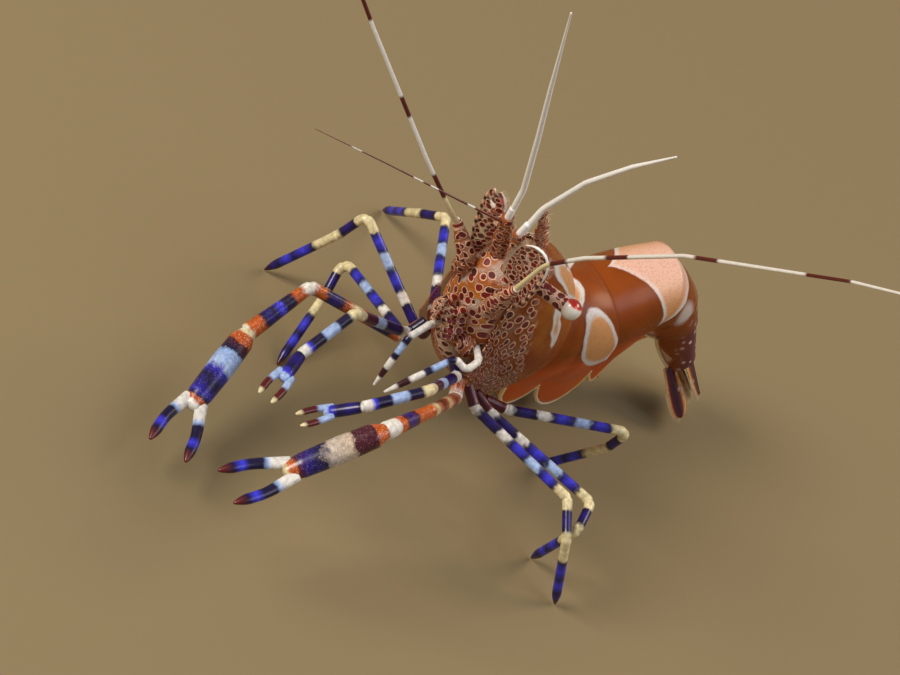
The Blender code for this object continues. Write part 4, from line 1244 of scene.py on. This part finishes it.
# headings of the hip, the upper part and the shank, and the azimuth of the last stretch
LEG = {
    ("right", 3): ((-13, -39), (-111, -16), (31, -36), 23),
    ("right", 4): ((-168, -74), (-91, 20), (-50, -74), -50),
    ("right", 5): ((-140, -10), (-139, 6), (-104, -46), -130),
    ("left", 3): ((81, -25), (101, -1), (59, -26), 126),
    ("left", 4): ((96, -11), (105, -1), (26, -9), -134),
    ("left", 5): ((128, 1), (134, 15), (-126, -76), -85),
}
for (side, number), (hip, upper, shank, last) in LEG.items():
    points = walk(in_body(LEG_BASE[number], side), ((hip, HIP), (upper, LEG_LONG[number]), (shank, SHANK)))
    slope = math.degrees(math.asin((points[-1].z - TOE_HEIGHT) / LAST))
    points.append(points[-1] + heading(last, -slope) * LAST)
    limb(f"leg_{number}_{side}_tube", points, [0.19, 0.170, 0.160, 0.155, 0.03], LEG_CHITIN, "banded_leg",
         f"leg_{number}_{side}", sides=18, blunt=0.55)
print("limbs placed")


# %% [markdown]
# ## Abdomen
#
# Six shell rings bend like a folded sleeve. Each ring is an arch over the flesh that ends in
# a rounded flap on either side, and each slides under the one before it. The flesh is one
# smooth body inside, with a faint waist at each joint.

# %% The line of the abdomen
# each ring: length, turn to the left and slope down
ABDOMEN = ((1.2, 8, -4), (1.7, 11, -16), (2.35, 14, -24), (1.3, 24, 34), (1.1, 33, 47), (1.95, 37, 51))
# the sections between them: half width, height of the back, depth of the belly, turn, slope
ABDOMEN_SECTIONS = (
    (1.38, 1.70, 1.72, 7, 12), (1.52, 1.72, 2.25, 10, -6), (1.55, 1.46, 2.72, 13, -19),
    (1.28, 1.20, 1.95, 19, 4), (1.02, 0.98, 1.30, 29, 39), (0.82, 0.78, 0.90, 35, 50),
    (0.56, 0.50, 0.56, 37, 42),
)
LOBES = (0.22, 0.28, 0.26, 0.03, 0.08, 0.04)    # how much each ring hangs below its sections
RAISED_RING = 2         # the saddle ring stands up a little
RAISED = 0.02


def rear(turn, slope):
    t = math.radians(turn)
    s = math.radians(slope)
    return Vector((-math.cos(s) * math.cos(t), math.cos(s) * math.sin(t), -math.sin(s)))


def ring_axes(turn, slope):
    """Unit vectors ahead, to the left and up."""
    ahead = -rear(turn, slope)
    left = Vector((math.sin(math.radians(turn)), math.cos(math.radians(turn)), 0))
    return ahead, left, ahead.cross(left)


centres = [Vector((0, 0, HIP_HEIGHT))]
for length, turn, slope in ABDOMEN:
    centres.append(centres[-1] + rear(turn, slope) * length)


def section(k, t):
    """The numbers of a section at share t along ring k."""
    return [a + (b - a) * t for a, b in zip(ABDOMEN_SECTIONS[k], ABDOMEN_SECTIONS[k + 1])]


def rounding(t):
    """0 at both ends of a ring and 1 in its middle."""
    return math.sin(math.pi * clamped(t))


def on_ring(k, t, angle, swell=0.0):
    """A point of ring k at share t along it, at an angle round it where 90 is the back."""
    half_width, up, down, *tilt = section(k, t)
    bulge = 1 + 0.05 * rounding(t)
    hang = 1 + LOBES[k] * rounding(t)
    left, upward = ring_axes(*tilt)[1:]
    middle = centres[k] + (centres[k + 1] - centres[k]) * t
    if k == RAISED_RING:
        middle = middle + upward * RAISED * rounding(t)
    y, z = oval(half_width * bulge + swell, up * bulge + swell, down * hang + swell, angle)
    return middle + left * y + upward * z


# %% Six clear shell rings
FLAP = (1.15, 1.50, 1.25, 0.40, 0.20, 0.12)     # mm that the side flap of each ring hangs down
FLAP_ROWS = 7
FLAP_PINCH = 0.06       # of the width of the arch, how far a flap leans in
travelled = 0.0
for k in range(6):
    length = ABDOMEN[k][0]
    steps = max(14, int(length / 0.09))
    rings = []
    shares = [-0.02 + 1.08 * n / steps for n in range(steps + 1)]
    for t in shares:
        proud = -0.03 + 0.06 * max(0.0, t) ** 2
        arch = [on_ring(k, t, -38 + 256 * i / 60, proud) for i in range(61)]
        upward = ring_axes(*section(k, t)[3:])[2]
        inward = (arch[60] - arch[0]) * FLAP_PINCH
        depth = FLAP[k] * (0.15 + 0.85 * rounding(t) ** 0.6)
        drops = [depth * row / FLAP_ROWS for row in range(FLAP_ROWS, 0, -1)]
        rings.append([arch[0] - upward * drop + inward * (drop / FLAP[k]) for drop in drops] + arch
                     + [arch[60] - upward * drop - inward * (drop / FLAP[k]) for drop in drops[::-1]])
    ring = skin(f"tail_ring_{k + 1}", rings, [travelled + length * t for t in shares], CLEAR_SHELL,
                wrap=False, tips=(None, None))
    thicken(ring)
    settle(ring, "clear_shell", f"abdomen_{k + 1}")
    for side, i in (("left", 0), ("right", -1)):
        limb(f"tail_ring_{k + 1}_hem_{side}", [row[i] for row in rings[1:-1:2]], [0.075], EDGE_AMBER,
             "clear_shell", bend=0.2, sides=8, **SMOOTH)
    travelled += length

# %% Flesh of the abdomen
rings = []
for k in range(6):
    for t in [n / 10 for n in range(10)]:
        swell = -0.20 - 0.06 * math.cos(math.tau * t)
        rings.append([on_ring(k, t, 270 - 360 * i / 40, swell) for i in range(40)])
settle(skin("abdomen_flesh", rings, [n / 10 for n in range(60)], FLESH), "clear_shell")

# %% Swimming limbs
SWIMMERET = 1.5
SWIMMERET_PLACE = (0.5, 0.5, 0.5, 0.6, 0.72)    # share along each ring
for k, place in enumerate(SWIMMERET_PLACE):
    for side, sign in SIDES.items():
        half_width, up, down, *tilt = section(k, 0.5)
        ahead, left, upward = ring_axes(*tilt)
        middle = centres[k].lerp(centres[k + 1], place)
        root = middle + left * sign * half_width * 0.50 - upward * down * 0.80
        size = SWIMMERET * (0.6 + 0.4 * half_width / 1.5)
        knee = root - upward * (0.20 * down + 0.40 * size) + ahead * 0.1
        end = knee - upward * 0.5 * size - ahead * 0.45 * size
        limb(f"swimmeret_{k + 1}_{side}_leaf", [root, knee, end], [0.20, 0.30, 0.12], PALE_FLESH,
             "clear_shell", f"swimmeret_{k + 1}_{side}", sides=14, press=(ahead, 0.4), knuckle=0, pinch=0.1)
        hairs = [(knee.lerp(end, n / 24), (end - knee).normalized() + left * random.uniform(-0.8, 0.8),
                  random.uniform(0.2, 0.35)) for n in range(6, 25)]
        fringe(f"swimmeret_{k + 1}_{side}_hairs", hairs, "clear_shell")


# %% [markdown]
# ## Tail fan
#
# The tail plate in the middle and two leaves on each side spread like a fan. They are thin,
# dark purple, with tan edges and a fringe of fine hairs.

# %% Tail plate and leaves
TAIL_HEADING = (57, 45)
# each outline: share along the leaf and half width there
PLATE_OUTLINE = ((0.0, 0.40), (0.2, 0.46), (0.6, 0.38), (1.0, 0.20))
LEAF_OUTLINE = ((0.0, 0.38), (0.15, 0.42), (0.4, 0.50), (0.7, 0.54), (0.9, 0.44), (0.97, 0.28), (1.0, 0.08))
# each pair of leaves: mm aside and below the root, and the angle it is spread by
LEAVES = {"inner": (0.30, 0.27, 2), "outer": (0.50, 0.30, 7)}
LEAF_ROLL = 38      # degrees that the leaves of the fan are turned about their own line
PLATE_LENGTH = 1.75
LEAF_LENGTH = 2.05
LEAF_WIDTH = 0.66
ahead, left, upward = ring_axes(*TAIL_HEADING)
back = -ahead
root = centres[-1]


def tail_leaf(name, node, start, line, wide_way, outline, length, width, depth, broad_edge=0):
    """A ribbed leaf; broad_edge is the side, 1 or -1, where the tan edge is broad."""
    rings = []
    edge_shares = []
    hairs = []
    shares = [n / 36 for n in range(37)]
    for share in shares:
        half = smooth_row(outline, share)[0] * width
        middle = start + line * length * share
        high = line.cross(wide_way) * depth * (1 - 0.55 * share)
        rings.append([middle + wide_way * half * c + high * (0.6 + 0.5 * hump(c, 0.18)) * s
                      for c, s in circle(24)])
        edge_shares.append([abs(c) ** (0.7 if c * broad_edge > 0 else 1.5) for c, s in circle(24)])
        if share > 0.4:
            hairs += [(middle + wide_way * half * way, line + wide_way * way * (1.2 - share),
                       0.12 + 0.08 * share) for way in (-1, 1)]
    hairs += [(start + line * length * 0.99 + wide_way * n * 0.03, line + wide_way * n * 0.08, 0.2)
              for n in range(-4, 5)]
    fringe(name + "_hairs", hairs, "tail_fan")
    leaf = skin(name, rings, [length * share for share in shares], TAIL_CHITIN, edge_shares)
    settle(leaf, "tail_fan", node)


tail_leaf("tail_plate", "telson", root + upward * 0.26 + back * 0.06, back, left, PLATE_OUTLINE,
          PLATE_LENGTH, 1.0, 0.16)
for side, sign in SIDES.items():
    for which, (aside, below, splay) in LEAVES.items():
        start = root + left * aside * sign - upward * below + back * 0.12
        line = (Matrix.Rotation(math.radians(-splay * sign), 3, upward) @ back).normalized()
        wide_way = Matrix.Rotation(math.radians(LEAF_ROLL * sign), 3, line) @ upward.cross(line).normalized()
        tail_leaf(f"tail_leaf_{which}_{side}", f"uropod_{which}_{side}", start, line, wide_way,
                  LEAF_OUTLINE, LEAF_LENGTH, LEAF_WIDTH, 0.10, sign)
print("abdomen and tail fan placed")


# %% [markdown]
# ## Floor, light and camera
#
# The model stands on a pale floor under soft studio light. The camera looks down at the
# face from the animal's front left, from 150 mm away, and is rolled so that the animal seems
# to lean.

# %% Floor
FLOOR_HALF = 1.5        # m
corners = [(-1, -1), (1, -1), (1, 1), (-1, 1)]
floor_mesh = bpy.data.meshes.new("pale_floor")
floor_mesh.from_pydata([(x * FLOOR_HALF, y * FLOOR_HALF, 0) for x, y in corners], [], [(0, 1, 2, 3)])
card = bpy.data.materials.new("pale_card")
card.use_nodes = True
fill(card.node_tree, card.node_tree.nodes["Principled BSDF"],
     {"Base Color": paint("#8B7A58"), "Roughness": 0.9})
floor_mesh.materials.append(card)
floor = bpy.data.objects.new("pale_floor", floor_mesh)
bpy.context.scene.collection.objects.link(floor)

# %% Camera
CAMERA_HEADING = (17.1, 39.1)
CAMERA_ROLL = 39.6
CAMERA_DISTANCE = 150
AIM_LEFT = 2.27         # mm that the camera aims beside and below the joint of chest and tail
AIM_DOWN = 0.26
to_camera = heading(*CAMERA_HEADING)
level = Vector((0, 0, 1)).cross(to_camera).normalized()
rise = to_camera.cross(level)
roll = math.radians(CAMERA_ROLL)
right = level * math.cos(roll) + rise * math.sin(roll)
top = rise * math.cos(roll) - level * math.sin(roll)
aim = Vector((0, 0, HIP_HEIGHT)) + SLIDE - right * AIM_LEFT - top * AIM_DOWN
place = (aim + to_camera * CAMERA_DISTANCE) * MM
lens = bpy.data.cameras.new("camera")
lens.sensor_width = 36
lens.lens = 186
lens.clip_start = 0.01
lens.clip_end = 20
camera = bpy.data.objects.new("camera", lens)
camera.matrix_world = Matrix.Translation(place) @ Matrix((right, top, to_camera)).transposed().to_4x4()
bpy.context.scene.collection.objects.link(camera)
bpy.context.scene.camera = camera

# %% Lights
def soft_box(name, toward, distance, size, power, tint):
    lamp = bpy.data.lights.new(name, "AREA")
    lamp.shape = "DISK"
    lamp.size = size * MM
    lamp.energy = power
    lamp.color = paint(tint)[:3]
    box = bpy.data.objects.new(name, lamp)
    box.location = (aim + toward.normalized() * distance) * MM
    box.rotation_euler = toward.to_track_quat("Z", "Y").to_euler()
    bpy.context.scene.collection.objects.link(box)


soft_box("key_box", to_camera + top * 0.8 - right * 0.5, 160, 70, 0.20, "#FFF6EA")
soft_box("fill_box", to_camera * 0.6 + right * 1.0 + Vector((0, 0, 0.4)), 180, 120, 0.08, "#EAF0FF")
soft_box("back_box", Vector((-0.8, 0.3, 0.9)), 170, 80, 0.10, "#FFEAD0")
world = bpy.data.worlds.new("studio")
world.use_nodes = True
fill(world.node_tree, world.node_tree.nodes["Background"], [paint("#E6E4E0"), 0.30])
bpy.context.scene.world = world
bpy.context.scene.view_settings.view_transform = "Standard"
